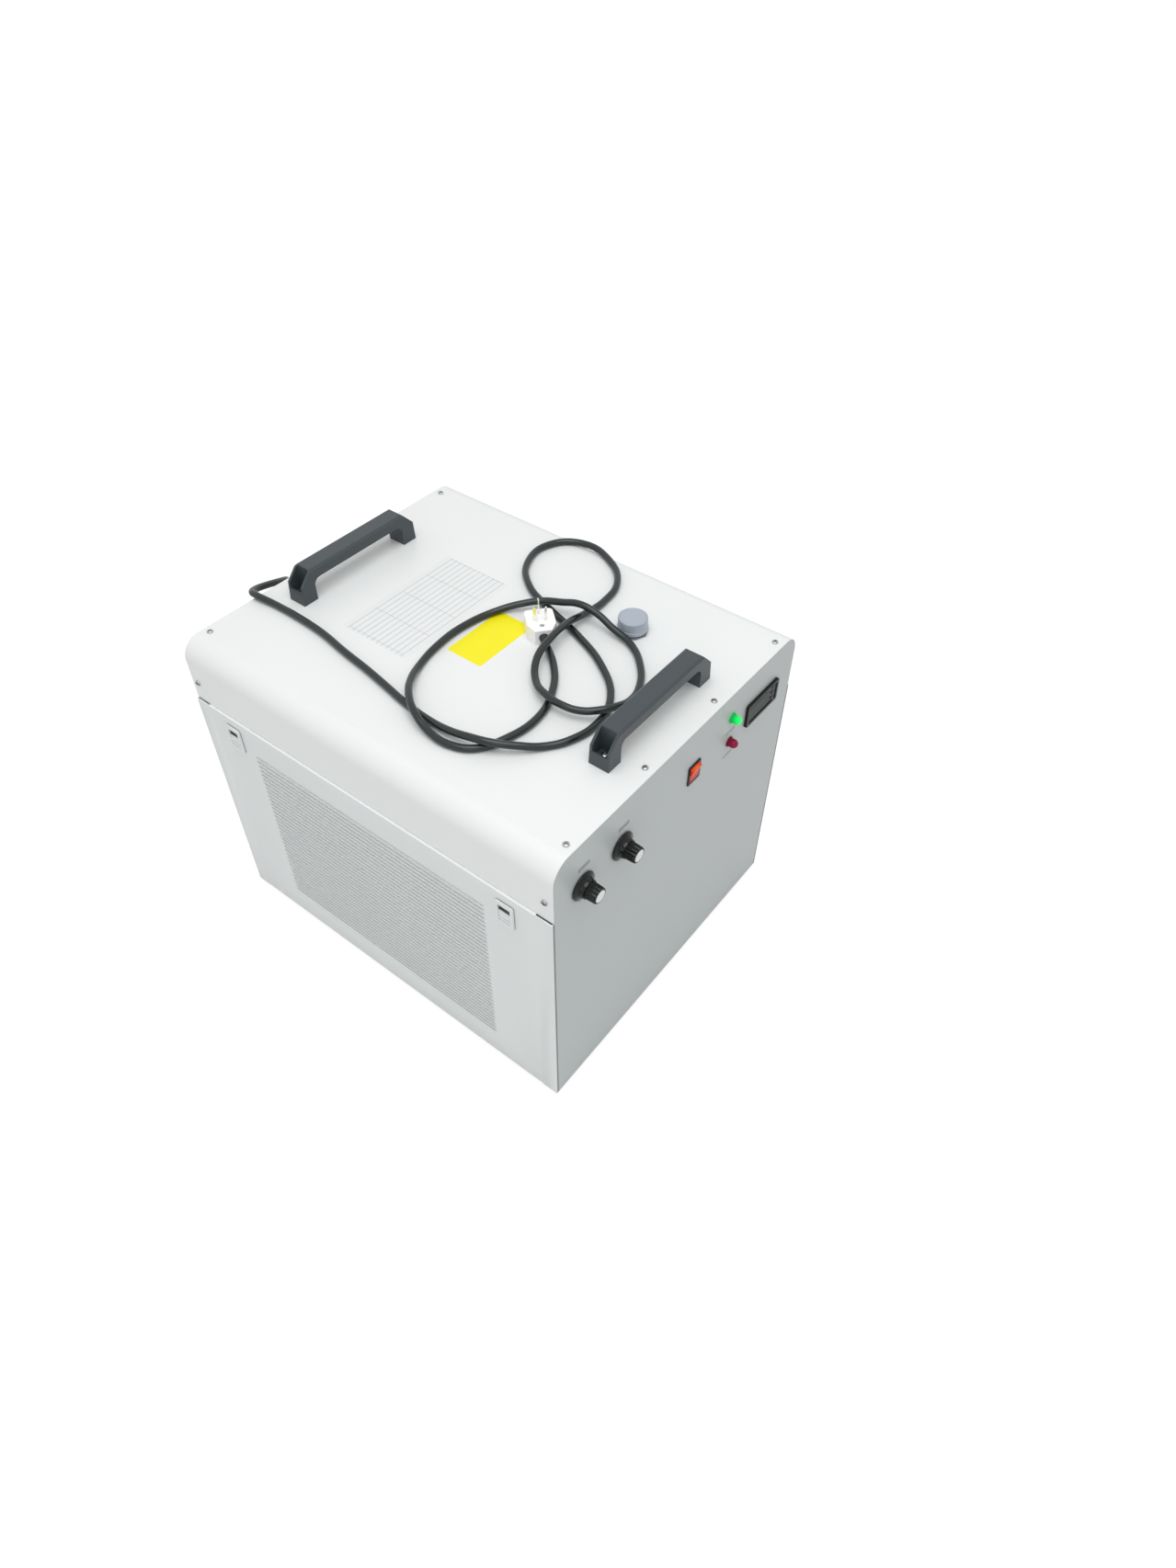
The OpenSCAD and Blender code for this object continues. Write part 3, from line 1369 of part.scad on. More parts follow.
module water_hoses() {
    head_y = pump_y + head_t / 2;
    tank_back = tank_y + tank_d;
    color("lightgray") difference() {
        union() {
            hose([[pump_x, tank_back + spigot_len - hose_grip, spigot_z],
                [pump_x, pump_y - spigot_len + hose_grip, spigot_z]]);
            hose(rounded_route([[pump_x, head_y, pump_top - hose_grip], [pump_x, head_y, outlet_z],
                [port_x, head_y + 3 * hose_bend, outlet_z], [port_x, hose_end_y, outlet_z]], hose_bend));
            hose(rounded_route([[port_x, hose_end_y, inlet_z], [port_x, tank_back + 2 * hose_bend, inlet_z],
                [port_x, tank_back + 2 * hose_bend, hose_high_z], [return_x, return_y, hose_high_z],
                [return_x, return_y, tank_top + spigot_len - hose_grip]], hose_bend));
            hose([[drain_x, tank_back + spigot_len - hose_grip, drain_z], [drain_x, hose_end_y, drain_z]]);
        }
        rod_y(pump_x, tank_back, spigot_z, spigot_r + running, spigot_len + seat);
        rod_y(pump_x, pump_y - spigot_len - seat, spigot_z, spigot_r + running, 2 * spigot_len);
        translate([pump_x, head_y, pump_z]) cylinder(r = spigot_r + running, h = pump_top - pump_z + seat);
        for (z = [inlet_z, outlet_z]) rod_y(port_x, tail_y - seat, z, spigot_r + running, fitting_tail);
        translate([return_x, return_y, tank_top])
            cylinder(r = spigot_r + running, h = spigot_len + 2 * seat);
        rod_y(drain_x, tank_back, drain_z, spigot_r + running, spigot_len + seat);
        rod_y(drain_x, tail_y - seat, drain_z, spigot_r + running, fitting_tail);
    }
}

// Copper pipes: compressor to condenser, condenser through the drier to the coil, coil to compressor
pipe_bend = 15;
pipe_run_z = tank_top + hose_rise;
pipe_run_gap = 20;
pipe_run_y = tank_y + tank_d + pipe_run_gap;
drier_r = 10;
drier_len = 70;
drier_z = 150;
lid_pipe_z = tank_top + coil_tail;

module pipe(points) { swept(rounded_route(points, pipe_bend), copper_r, 8); }

module copper_pipes() {
    left_stub = compressor_x - stub_x;
    right_stub = compressor_x + stub_x;
    color("peru") {
        pipe([[right_stub, stub_end_y, stub_z], [right_stub, pipe_run_y, stub_z],
            [right_stub, pipe_run_y, pipe_high_z], [condenser_pipe_x, pipe_run_y, pipe_high_z],
            [condenser_pipe_x, condenser_y - stub_len, pipe_high_z]]);
        pipe([[condenser_pipe_x, condenser_y - stub_len, pipe_low_z],
            [condenser_pipe_x, condenser_y - 4 * stub_len, pipe_low_z],
            [condenser_pipe_x, condenser_y - 4 * stub_len, pipe_run_z - pipe_bend],
            [coil_in[0], coil_in[1], pipe_run_z - pipe_bend], [coil_in[0], coil_in[1], lid_pipe_z]]);
        translate([condenser_pipe_x, condenser_y - 4 * stub_len, drier_z])
            cylinder(r = drier_r, h = drier_len);
        pipe([[coil_out[0], coil_out[1], lid_pipe_z], [coil_out[0], coil_out[1], pipe_run_z],
            [right_stub, coil_out[1], pipe_run_z], [left_stub, pipe_run_y, pipe_run_z],
            [left_stub, pipe_run_y, stub_z], [left_stub, stub_end_y, stub_z]]);
    }
}

// Control box on the back of the front panel
control_w = 130;
control_t = 45;
control_h = 90;
control_from_left = 40;
control_drop = 130;
control_x = -side_x + control_from_left;
control_z = seam_z - control_drop;
control_lid = 2;

module control_box() {
    color("gainsboro") difference() {
        union() {
            box(control_x, front_y + sheet, control_z, control_w, control_t, control_h);
            box(control_x - control_lid, front_y + sheet + control_t - 4 * control_lid,
                control_z - control_lid, control_w + 2 * control_lid, 4 * control_lid,
                control_h + 2 * control_lid);
        }
        box(control_x + control_lid, front_y + sheet + control_lid, control_z + control_lid,
            control_w - 2 * control_lid, control_t - 2 * control_lid, control_h - 2 * control_lid);
        for (k = [1:3]) translate([control_x + control_w * k / 4, front_y + sheet + control_t / 2,
            control_z - 2 * control_lid]) cylinder(r = screw_head_r, h = 4 * control_lid);
    }
}

base_pan();
rubber_feet();
front_panel();
back_panel();
top_cover();
left_panel();
right_panel();
left_filter();
right_filter();
left_latch_bezels();
right_latch_bezels();
left_front_slide();
left_back_slide();
right_front_slide();
right_back_slide();
front_handle();
back_handle();
handle_screws();
cover_screws();
filler_neck();
filler_gasket();
filler_cap();
tank();
tank_lid();
cooling_coil();
thermostat_case();
thermostat_window();
set_key();
up_key();
down_key();
switch_housing();
switch_rocker();
green_lamp();
red_lamp();
left_knob();
right_knob();
left_knob_cap();
right_knob_cap();
left_control();
right_control();
left_shaft();
right_shaft();
cable_gland();
cord();
plug();
plug_blades();
water_inlet();
water_outlet();
drain_valve();
drain_handle();
fan_frame();
fan_rotor();
fan_guard();
condenser();
compressor();
compressor_mounts();
pump();
water_hoses();
copper_pipes();
control_box();
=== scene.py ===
import math

import bpy
from mathutils import Matrix, Vector


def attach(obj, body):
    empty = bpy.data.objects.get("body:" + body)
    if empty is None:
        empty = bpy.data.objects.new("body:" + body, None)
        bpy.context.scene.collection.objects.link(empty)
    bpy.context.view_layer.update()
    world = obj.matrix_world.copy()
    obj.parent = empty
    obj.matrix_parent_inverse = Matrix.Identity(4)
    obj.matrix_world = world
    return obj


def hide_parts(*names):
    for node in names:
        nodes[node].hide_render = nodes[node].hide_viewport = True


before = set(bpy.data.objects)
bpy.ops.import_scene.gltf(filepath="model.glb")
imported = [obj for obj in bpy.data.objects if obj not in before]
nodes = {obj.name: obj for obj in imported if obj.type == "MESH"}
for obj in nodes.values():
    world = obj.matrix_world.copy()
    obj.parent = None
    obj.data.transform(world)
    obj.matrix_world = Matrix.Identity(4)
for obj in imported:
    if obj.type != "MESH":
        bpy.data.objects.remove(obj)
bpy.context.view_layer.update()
mm = 0.001
fullTurn = 2 * math.pi
weld = 2e-6  # vertices closer than this are one


def link(thing):
    bpy.context.scene.collection.objects.link(thing)
    return thing


# ---- camera: the photo's viewpoint, solved from the cabinet's edges
camera = {"spot": (-0.754357, -0.725199, 1.292134), "turn": -52.91425, "tilt": 46.24232, "roll": 0.654,
          "lens": 23.745, "sensor": 36, "near": 0.05}


def setCamera():
    lens = bpy.data.cameras.new("viewpoint")
    lens.lens = camera["lens"]
    lens.sensor_width = camera["sensor"]
    lens.clip_start = camera["near"]
    eye = link(bpy.data.objects.new("viewpoint", lens))
    turn = Matrix.Rotation(math.radians(camera["turn"]), 4, "Z")
    tilt = Matrix.Rotation(math.radians(90 - camera["tilt"]), 4, "X")
    roll = Matrix.Rotation(math.radians(camera["roll"]), 4, "Z")
    eye.matrix_world = Matrix.Translation(camera["spot"]) @ turn @ tilt @ roll
    bpy.context.scene.camera = eye


setCamera()
print("camera set")


# ---- hand work: everything is drawn in millimetres
def spot(point):
    return Vector(point) * mm


def edit():
    bpy.ops.object.mode_set(mode="EDIT")
    bpy.ops.mesh.select_all(action="SELECT")


def leave():
    bpy.ops.object.mode_set(mode="OBJECT")


def freeze():
    bpy.ops.object.transform_apply(location=True, rotation=True, scale=True)


def pull(way):
    bpy.ops.mesh.extrude_region_move(TRANSFORM_OT_translate={"value": way})


def clear():
    if bpy.context.object and bpy.context.object.mode != "OBJECT":
        leave()
    bpy.ops.object.select_all(action="DESELECT")


def hold(piece):
    clear()
    piece.select_set(True)
    bpy.context.view_layer.objects.active = piece
    return piece


def named(piece, name):
    piece.name = name
    piece.data.name = name
    return piece


def draw(name, points):
    clear()
    bpy.ops.mesh.primitive_plane_add(size=mm)
    piece = named(bpy.context.object, name)
    bpy.ops.object.mode_set(mode="EDIT")
    bpy.ops.mesh.select_mode(type="VERT")
    bpy.ops.mesh.merge(type="CENTER")
    bpy.ops.transform.translate(value=spot(points[0]))
    for here, there in zip(points, points[1:]):
        pull(spot(there) - spot(here))
    bpy.ops.mesh.select_all(action="SELECT")
    return piece


def outward():
    bpy.ops.mesh.select_all(action="SELECT")
    bpy.ops.mesh.remove_doubles(threshold=weld)
    bpy.ops.mesh.normals_make_consistent(inside=False)
    leave()


def plate(name, outline, depth):
    piece = draw(name, outline)
    bpy.ops.mesh.edge_face_add()
    pull(spot(depth))
    outward()
    return piece


def turned(name, profile, steps=48):
    piece = draw(name, [(r, 0, h) for r, h in profile])
    bpy.ops.mesh.spin(steps=steps, angle=fullTurn, center=(0, 0, 0), axis=(0, 0, 1))
    outward()
    return piece


def block(name, low, high):
    clear()
    middle = [(a + b) / 2 for a, b in zip(low, high)]
    size = [b - a for a, b in zip(low, high)]
    bpy.ops.mesh.primitive_cube_add(size=1, location=spot(middle), scale=spot(size))
    freeze()
    return named(bpy.context.object, name)


def rod(name, start, end, radius, sides=32):
    clear()
    start, end = spot(start), spot(end)
    way = end - start
    bpy.ops.mesh.primitive_cone_add(vertices=sides, radius1=radius * mm, radius2=radius * mm,
                                    depth=way.length, location=(start + end) / 2,
                                    rotation=way.to_track_quat("Z", "Y").to_euler())
    freeze()
    return named(bpy.context.object, name)


def circlePoints(radius, steps, centre=(0, 0), first=0, last=360):
    span = math.radians(last - first)
    full = last - first >= 360
    count = steps if full else steps + 1
    return [(centre[0] + radius * math.cos(math.radians(first) + span * k / steps),
             centre[1] + radius * math.sin(math.radians(first) + span * k / steps)) for k in range(count)]


def roundedBox(width, height, corner, steps=6, centre=(0, 0)):
    points = []
    for k, (sx, sy) in enumerate(((1, 1), (-1, 1), (-1, -1), (1, -1))):
        middle = (centre[0] + sx * (width / 2 - corner), centre[1] + sy * (height / 2 - corner))
        points += circlePoints(corner, steps, middle, 90 * k, 90 * k + 90)
    return points


def flat(points, height=0):
    return [(x, y, height) for x, y in points]


facings = {"top": ((1, 0, 0), (0, 1, 0), (0, 0, 1)), "front": ((1, 0, 0), (0, 0, 1), (0, -1, 0)),
           "back": ((-1, 0, 0), (0, 0, 1), (0, 1, 0)), "right": ((0, 1, 0), (0, 0, 1), (1, 0, 0)),
           "left": ((0, -1, 0), (0, 0, 1), (-1, 0, 0))}


def facing(side, place, turn=0):
    matrix = Matrix(facings[side]).transposed().to_4x4()
    matrix.translation = spot(place)
    return matrix @ Matrix.Rotation(math.radians(turn), 4, "Z")


def settle(piece, matrix):
    hold(piece)
    piece.matrix_world = matrix
    freeze()
    return piece


def another(piece, name, matrix):
    twin = link(bpy.data.objects.new(name, piece.data.copy()))
    twin.data.name = name
    return settle(twin, matrix)


def join(name, pieces):
    hold(pieces[0])
    for piece in pieces[1:]:
        piece.select_set(True)
    if len(pieces) > 1:
        bpy.ops.object.join()
    return named(pieces[0], name)


def spread(piece, name, matrices):
    made = [another(piece, name, matrix) for matrix in matrices]
    bpy.data.objects.remove(piece)
    return join(name, made)


def apply(piece, kind, **settings):
    hold(piece)
    modifier = piece.modifiers.new(kind.lower(), kind)
    for key, value in settings.items():
        setattr(modifier, key, value)
    bpy.ops.object.modifier_apply(modifier=modifier.name)
    return piece


def cut(piece, *cutters, operation="DIFFERENCE"):
    cutter = join("cutter", list(cutters))
    apply(piece, "BOOLEAN", object=cutter, operation=operation, solver="EXACT")
    bpy.data.objects.remove(cutter)
    return piece


def soften(piece, width=0.5, steps=2, angle=35):
    if width:
        apply(piece, "BEVEL", width=width * mm, segments=steps, limit_method="ANGLE",
              angle_limit=math.radians(angle), miter_outer="MITER_ARC")
    hold(piece)
    bpy.ops.object.shade_smooth_by_angle(angle=math.radians(angle))
    apply(piece, "WEIGHTED_NORMAL", keep_sharp=True)
    return piece


def shave(piece, point, normal):
    hold(piece)
    edit()
    bpy.ops.mesh.bisect(plane_co=spot(point), plane_no=normal, use_fill=True, clear_outer=True)
    outward()
    return piece


def pickEdges(piece, test):
    hold(piece)
    mesh = piece.data
    for group in (mesh.vertices, mesh.edges, mesh.polygons):
        group.foreach_set("select", [False] * len(group))
    for edge in mesh.edges:
        ends = [mesh.vertices[v].co / mm for v in edge.vertices]
        edge.select = test((ends[0] + ends[1]) / 2, (ends[1] - ends[0]).normalized())
    bpy.ops.object.mode_set(mode="EDIT")
    bpy.ops.mesh.select_mode(type="EDGE")


def turnFaces(piece, way):  # the largest face ends up looking that way
    if max(piece.data.polygons, key=lambda face: face.area).normal.dot(Vector(way)) < 0:
        edit()
        bpy.ops.mesh.flip_normals()
        leave()


def fromFrame(name, node, width, steps=2, angle=35):
    piece = link(bpy.data.objects.new(name, nodes[node].data.copy()))
    hold(piece)
    piece.data.materials.clear()
    bpy.ops.mesh.customdata_custom_splitnormals_clear()
    edit()
    bpy.ops.mesh.remove_doubles(threshold=weld)
    bpy.ops.mesh.dissolve_limited(angle_limit=math.radians(0.6))
    leave()
    named(piece, name)
    return soften(piece, width, steps, angle)


def finishPiece(piece, body, material, replaces=None):
    piece.data.materials.clear()
    piece.data.materials.append(material)
    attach(piece, body)
    if replaces:
        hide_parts(replaces)
    return piece


# ---- finishes
class Value:
    def __init__(self, owner, socket):
        self.owner = owner
        self.socket = socket

    def math(self, operation, first, second):
        return self.owner.node("ShaderNodeMath", {"operation": operation}, {0: first, 1: second})

    def __add__(self, other):
        return self.math("ADD", self, other)

    def __radd__(self, other):
        return self.math("ADD", other, self)

    def __sub__(self, other):
        return self.math("SUBTRACT", self, other)

    def __rsub__(self, other):
        return self.math("SUBTRACT", other, self)

    def __mul__(self, other):
        return self.math("MULTIPLY", self, other)

    def __rmul__(self, other):
        return self.math("MULTIPLY", other, self)

    def __gt__(self, other):
        return self.math("GREATER_THAN", self, other)

    def __lt__(self, other):
        return self.math("LESS_THAN", self, other)


class Tree:
    def __init__(self, owner):
        owner.use_nodes = True
        self.tree = owner.node_tree

    def node(self, kind, settings=None, inputs=None, output=0):
        made = self.tree.nodes.new(kind)
        for key, value in (settings or {}).items():
            setattr(made, key, value)
        for key, value in (inputs or {}).items():
            if isinstance(value, Value):
                self.tree.links.new(value.socket, made.inputs[key])
            else:
                made.inputs[key].default_value = value
        return Value(self, made.outputs[output])

    def surface(self, name, shader):
        self.tree.links.new(shader.socket, self.tree.nodes[name].inputs["Surface"])


class Finish(Tree):
    def __init__(self, name, **constants):
        self.material = bpy.data.materials.new(name)
        super().__init__(self.material)
        self.shader = self.tree.nodes["Principled BSDF"]
        self.place = self.node("ShaderNodeTexCoord", output="Object")
        for key, value in constants.items():
            self.shader.inputs[key.replace("_", " ")].default_value = value

    def stretched(self, scale):
        return self.node("ShaderNodeMapping", inputs={"Vector": self.place, "Scale": scale})

    def noise(self, scale, detail=2.0, place=None):
        return self.node("ShaderNodeTexNoise", inputs={"Vector": place or self.place, "Scale": scale,
                                                       "Detail": detail})

    def blend(self, factor, first, second):
        inputs = {0: factor, 6: (*first, 1) if isinstance(first, tuple) else first,
                  7: (*second, 1) if isinstance(second, tuple) else second}
        return self.node("ShaderNodeMix", {"data_type": "RGBA"}, inputs, 2)

    def axis(self, letter):
        return self.node("ShaderNodeSeparateXYZ", inputs={0: self.place}, output=letter)

    def feed(self, socket, value):
        self.tree.links.new(value.socket, self.shader.inputs[socket])

    def bump(self, height, depth, strength=1.0):
        self.feed("Normal", self.node("ShaderNodeBump", inputs={"Height": height, "Distance": depth * mm,
                                                                "Strength": strength}))


def shade(colour, by):
    return tuple(min(1.0, c * by) for c in colour)


# where painted light goes on the side paint: a height above which a painted highlight whitens the top edge, and
# distances from the cabinet's middle, in metres, beyond which the louvres' lips get a painted highlight and
# within which the joint to the front gets painted shade
sidePaintedLight = {"highlightLedge": 0.3831, "lip": 0.2529, "joint": -0.2996, "skirt": 0.2514}


def powderCoat(name, colour, roughness=0.42, peel=0.02, lines=None):
    finish = Finish(name)
    fine, broad = finish.noise(900, 3), finish.noise(5, 3)
    coat = finish.blend(broad, shade(colour, 0.97), shade(colour, 1.02))
    if lines:  # painted highlight: whiter on the top edge and the louvres' lips, where light from above falls; painted shade: dark in the joint to the front
        across = finish.axis("X") * finish.axis("X")
        bright = (finish.axis("Z") - lines["highlightLedge"]) * 2000 + (across > lines["lip"] ** 2)
        coat = finish.blend(bright, coat, shade(colour, 1.22))
        joint = (finish.axis("Y") < lines["joint"]) * (across < lines["skirt"] ** 2)
        coat = finish.blend(joint, coat, shade(colour, 0.3))
    finish.feed("Base Color", coat)
    finish.feed("Roughness", broad * 0.1 + fine * 0.06 + (roughness - 0.08))
    finish.bump(fine, peel, 0.5)
    return finish.material


def moulded(name, colour, roughness=0.5, grain=1500, depth=0.02, spread=0.06, **more):
    finish = Finish(name, **more)
    fine, broad = finish.noise(grain, 2), finish.noise(30, 3)
    finish.feed("Base Color", finish.blend(broad, shade(colour, 1 - spread), shade(colour, 1 + spread)))
    finish.feed("Roughness", broad * 0.12 + fine * 0.08 + (roughness - 0.1))
    finish.bump(fine, depth, 0.6)
    return finish.material


def paintedRecessShade(name, colour, edge):  # painted shade: dark nearer the middle of the cabinet than a distance, in the latch recess and at the bezels' foot
    finish = Finish(name, Roughness=0.35)
    fine, across = finish.noise(900, 2), finish.axis("X")
    finish.feed("Base Color", finish.blend(across * across < (edge * mm) ** 2, colour, shade(colour, 0.2)))
    finish.bump(fine, 0.01, 0.6)
    return finish.material


def metal(name, colour, roughness=0.3, brush=(1, 1, 1), scale=500, depth=0.01):
    finish = Finish(name, Metallic=1)
    lines, broad = finish.noise(scale, 3, finish.stretched(brush)), finish.noise(40, 3)
    finish.feed("Base Color", finish.blend(lines, shade(colour, 0.9), shade(colour, 1.08)))
    finish.feed("Roughness", lines * 0.14 + broad * 0.1 + (roughness - 0.12))
    finish.bump(lines, depth, 0.5)
    return finish.material


# painted light: the part glows though no power reaches it, brightest round a centre point like a painted
# highlight
def paintedGlow(name, dark, bright, strength, centre, reach):
    finish = Finish(name, Roughness=0.22, Specular_IOR_Level=0.12, Emission_Strength=strength)
    away = finish.node("ShaderNodeVectorMath", {"operation": "DISTANCE"},
                       {0: finish.place, 1: tuple(spot(centre))}, "Value")
    glow = finish.node("ShaderNodeMapRange", inputs={"Value": away, "From Min": 0.0, "To Min": 1.0,
                                                     "From Max": reach * mm, "To Max": 0.0})
    mottle = finish.noise(350, 2)
    colour = finish.blend(glow, dark, bright)
    finish.feed("Base Color", finish.blend(mottle * 0.25, colour, shade(dark, 0.8)))
    finish.feed("Emission Color", colour)
    finish.bump(mottle, 0.05, 0.3)
    return finish.material


coverWhite = powderCoat("coverWhite", (0.862, 0.885, 0.88))
# the side panels' paint, with painted highlights on the top edge and the louvres' lips and painted shade in the
# joint to the front
sidePaintWithPaintedLight = powderCoat("sidePaintWithPaintedLight", (0.785, 0.815, 0.81), lines=sidePaintedLight)
frontGrey = powderCoat("frontGrey", (0.51, 0.545, 0.545), 0.38)
backPaint = powderCoat("backPaint", (0.785, 0.815, 0.81))
zincSheet = metal("zincSheet", (0.62, 0.64, 0.66), 0.4, (1, 30, 1), 60)
screwSteel = metal("screwSteel", (0.42, 0.43, 0.44), 0.25)
# black for painted shadows: discs in the screw recesses and bars on the skirt screws' heads
paintedShadowBlack = moulded("paintedShadowBlack", (0.02, 0.02, 0.02), 0.6)
rubberBlack = moulded("rubberBlack", (0.022, 0.022, 0.022), 0.7, 700, 0.05)
# white latch plastic with painted shade inside 253.6 mm from the middle: the recess and the bezels' foot
latchWhiteWithShade = paintedRecessShade("latchWhiteWithShade", (0.8, 0.82, 0.82), 253.6)
handleBlack = moulded("handleBlack", (0.046, 0.058, 0.065), 0.36, 1600, 0.035, Specular_IOR_Level=0.45)
neckGrey = moulded("neckGrey", (0.16, 0.18, 0.21), 0.45)
capGrey = moulded("capGrey", (0.4, 0.45, 0.52), 0.34, 900, 0.015, 0.04)
tankPlastic = moulded("tankPlastic", (0.7, 0.76, 0.82), 0.4, 500, 0.02, 0.03, Transmission_Weight=0.25)
copper = metal("copper", (0.74, 0.42, 0.28), 0.32)
caseBlack = moulded("caseBlack", (0.008, 0.012, 0.009), 0.3, 1400, 0.012, Specular_IOR_Level=0.25)
windowDark = moulded("windowDark", (0.02, 0.028, 0.022), 0.22, 300, 0.001, 0.1, Specular_IOR_Level=0.12)
keyGrey = moulded("keyGrey", (0.1, 0.105, 0.11), 0.45)
# painted glow and painted highlights: the rocker brightest at its top end, the lamps at the front of their
# domes
rockerRed = paintedGlow("rockerRed", (0.5, 0.008, 0.008), (0.92, 0.14, 0.03), 0.2, (18, -304, 414), 16)
lampGreen = paintedGlow("lampGreen", (0.0, 0.3, 0.05), (0.03, 0.95, 0.16), 0.75, (100, -311, 434), 10)
lampRed = paintedGlow("lampRed", (0.12, 0.003, 0.02), (0.42, 0.02, 0.085), 0.12, (100, -309, 394), 11)
knobBlack = moulded("knobBlack", (0.004, 0.005, 0.005), 0.1, 1200, 0.004, Specular_IOR_Level=0.32)
capSilver = metal("capSilver", (0.8, 0.81, 0.82), 0.3, (1, 1, 1), 1500)
controlGrey = moulded("controlGrey", (0.1, 0.1, 0.11), 0.5)
shaftSteel = metal("shaftSteel", (0.7, 0.7, 0.7), 0.3)
glandBlack = moulded("glandBlack", (0.02, 0.02, 0.021), 0.45)
sheathBlack = moulded("sheathBlack", (0.012, 0.019, 0.02), 0.18, 420, 0.025, 0.15, Specular_IOR_Level=0.5)
plugWhite = moulded("plugWhite", (0.985, 0.985, 0.98), 0.26, 900, 0.01, 0.005)
bladeBrass = metal("bladeBrass", (0.88, 0.87, 0.8), 0.18)
fittingBrass = metal("fittingBrass", (0.74, 0.58, 0.3), 0.34)
fanBlack = moulded("fanBlack", (0.022, 0.022, 0.023), 0.42)
guardChrome = metal("guardChrome", (0.78, 0.79, 0.8), 0.16)
finAluminium = metal("finAluminium", (0.68, 0.69, 0.7), 0.4, (1, 1, 20), 90)
compressorBlack = moulded("compressorBlack", (0.016, 0.016, 0.017), 0.3, 500, 0.05)
pumpBlue = powderCoat("pumpBlue", (0.08, 0.17, 0.33), 0.36, 0.03)
boxPaint = powderCoat("boxPaint", (0.6, 0.62, 0.63), 0.45)
labelYellow = moulded("labelYellow", (0.95, 0.86, 0.0), 0.42, 400, 0.01, 0.02)
valveRed = moulded("valveRed", (0.42, 0.03, 0.02), 0.35)


def filterMat():
    finish = Finish("filterMat")
    cells = finish.node("ShaderNodeTexVoronoi", inputs={"Vector": finish.place, "Scale": 550.0},
                        output="Distance")
    finish.feed("Base Color", finish.blend(cells, (0.01, 0.01, 0.011), (0.07, 0.072, 0.075)))
    finish.feed("Roughness", cells * 0.2 + 0.7)
    finish.bump(cells, 0.8)
    return finish.material


ruling = {"start": 0.055, "pitch": 0.0085, "line": 0.1, "low": 0.063, "high": 0.158,
          "side": 0.095, "column": 0.0475, "rule": 0.012}


def ruledFilm():
    r = ruling
    finish = Finish("ruledFilm")
    across, along = finish.axis("Y"), finish.axis("X")
    down, right = (across - r["start"]) * (1 / r["pitch"]), (along + r["side"]) * (1 / r["column"])
    rows, columns = [finish.node("ShaderNodeMath", {"operation": "FRACT"}, {0: way}) for way in (down, right)]
    line = (rows < r["line"]) * (across > r["low"]) * (across < r["high"])
    rule = (columns < r["rule"]) * (across > r["low"]) * (across < r["high"])
    mark = line.math("MAXIMUM", line, rule)
    fade = finish.noise(60, 2)
    printed = mark * (fade * 0.5 + 0.55)
    finish.feed("Base Color", finish.blend(printed, (0.83, 0.85, 0.85), (0.36, 0.38, 0.39)))
    finish.feed("Roughness", fade * 0.15 + 0.3)
    finish.bump(mark, 0.01, 0.3)
    return finish.material


foamBlack = filterMat()
labelRuled = ruledFilm()
labelBlank = moulded("labelBlank", (0.3, 0.31, 0.31), 0.4, 400, 0.01, 0.05)
print("finishes made")


# ---- mains lead and plug
lead = {"diameter": 9.4, "level": 474, "exit": (-20, 336, 358), "stepsAlong": 6, "stepsAround": 5}
leadPoints = [
    (-20, 336, -116), (-20, 340, -116), (-24, 358.5, -112.4), (-29, 374, -101), (-33, 379, -84),
    (-36, 373, -66), (-40, 360, -51), (-46, 346, -38), (-58, 333, -26), (-76, 325, -16), (-97, 321, -8),
    (-115, 317, -2), (-127, 308, 3.5), (-130, 295, 6.3), (-127, 262, 5), (-127, 216, 5),
    (-130, 171, 5), (-139, 119, 5), (-146, 71, 5), (-154, 28, 5), (-161, -8, 5),
    (-165, -45, 5), (-167, -80, 9), (-165, -110, 14.5), (-157, -137, 15.5), (-140, -160, 11),
    (-117, -181, 5), (-90, -198, 5), (-50, -205, 5), (-4, -190, 5), (38, -143, 5), (66, -84, 5),
    (85, -28, 5), (109, 29, 5), (150, 66, 5), (200, 70, 5), (232, 35, 5), (222, -20, 5), (185, -60, 5),
    (142, -70, 5), (102, -70, 9), (64, -71, 17), (22, -77, 21), (-12, -84, 16), (-40, -105, 10.5),
    (-56, -133, 15), (-59, -160, 15), (-53, -182, 14), (-40, -200, 15.5), (-20, -211, 13.5),
    (5, -213, 7), (32, -206, 5), (66, -183, 5), (91, -150, 6), (96, -119, 12), (99, -91, 20.5),
    (97, -65, 24.5), (92, -40, 19), (83, -16, 15.5), (69, 2, 12), (44, 24, 6), (-10, 39, 5),
    (-59, 38, 5), (-100, 29, 5), (-131, 13, 11), (-154, -7, 15.5), (-171, -31, 15), (-181, -65, 7),
    (-180, -98, 5), (-166, -123, 5), (-136, -138, 5), (-87, -145, 5), (-38, -129, 5), (0, -100, 6)]
plugFacts = {"place": (30, -60.5, 474.3), "turn": 49, "width": 37, "length": 46, "height": 20, "neck": 11,
             "shoulder": 14, "corner": 6, "bladeWidth": 6.3, "bladeThick": 1.6, "seat": 0.4,
             "lineAlong": 24, "lineAcross": 6.86, "slant": 30, "lineLength": 17.5,
             "earthAlong": 38.3, "earthLength": 20.5, "screwAt": 11.5, "well": 3.1,
             "grips": (20, 24.5, 29, 33.5), "gripOut": 2.2, "grip": 2.8, "bootHeight": 9.7, "bootLength": 10,
             "boot": [(4.9, -10), (5.2, -7.5), (5.0, -7.2), (5.0, -6.2), (5.4, -5.9), (5.5, -5), (5.3, -4.7),
                      (5.3, -3.7), (5.7, -3.4), (5.8, -2.5), (5.6, -2.2), (5.6, -1.2), (6.0, -0.9), (6.2, 0),
                      (6.2, 2)]}


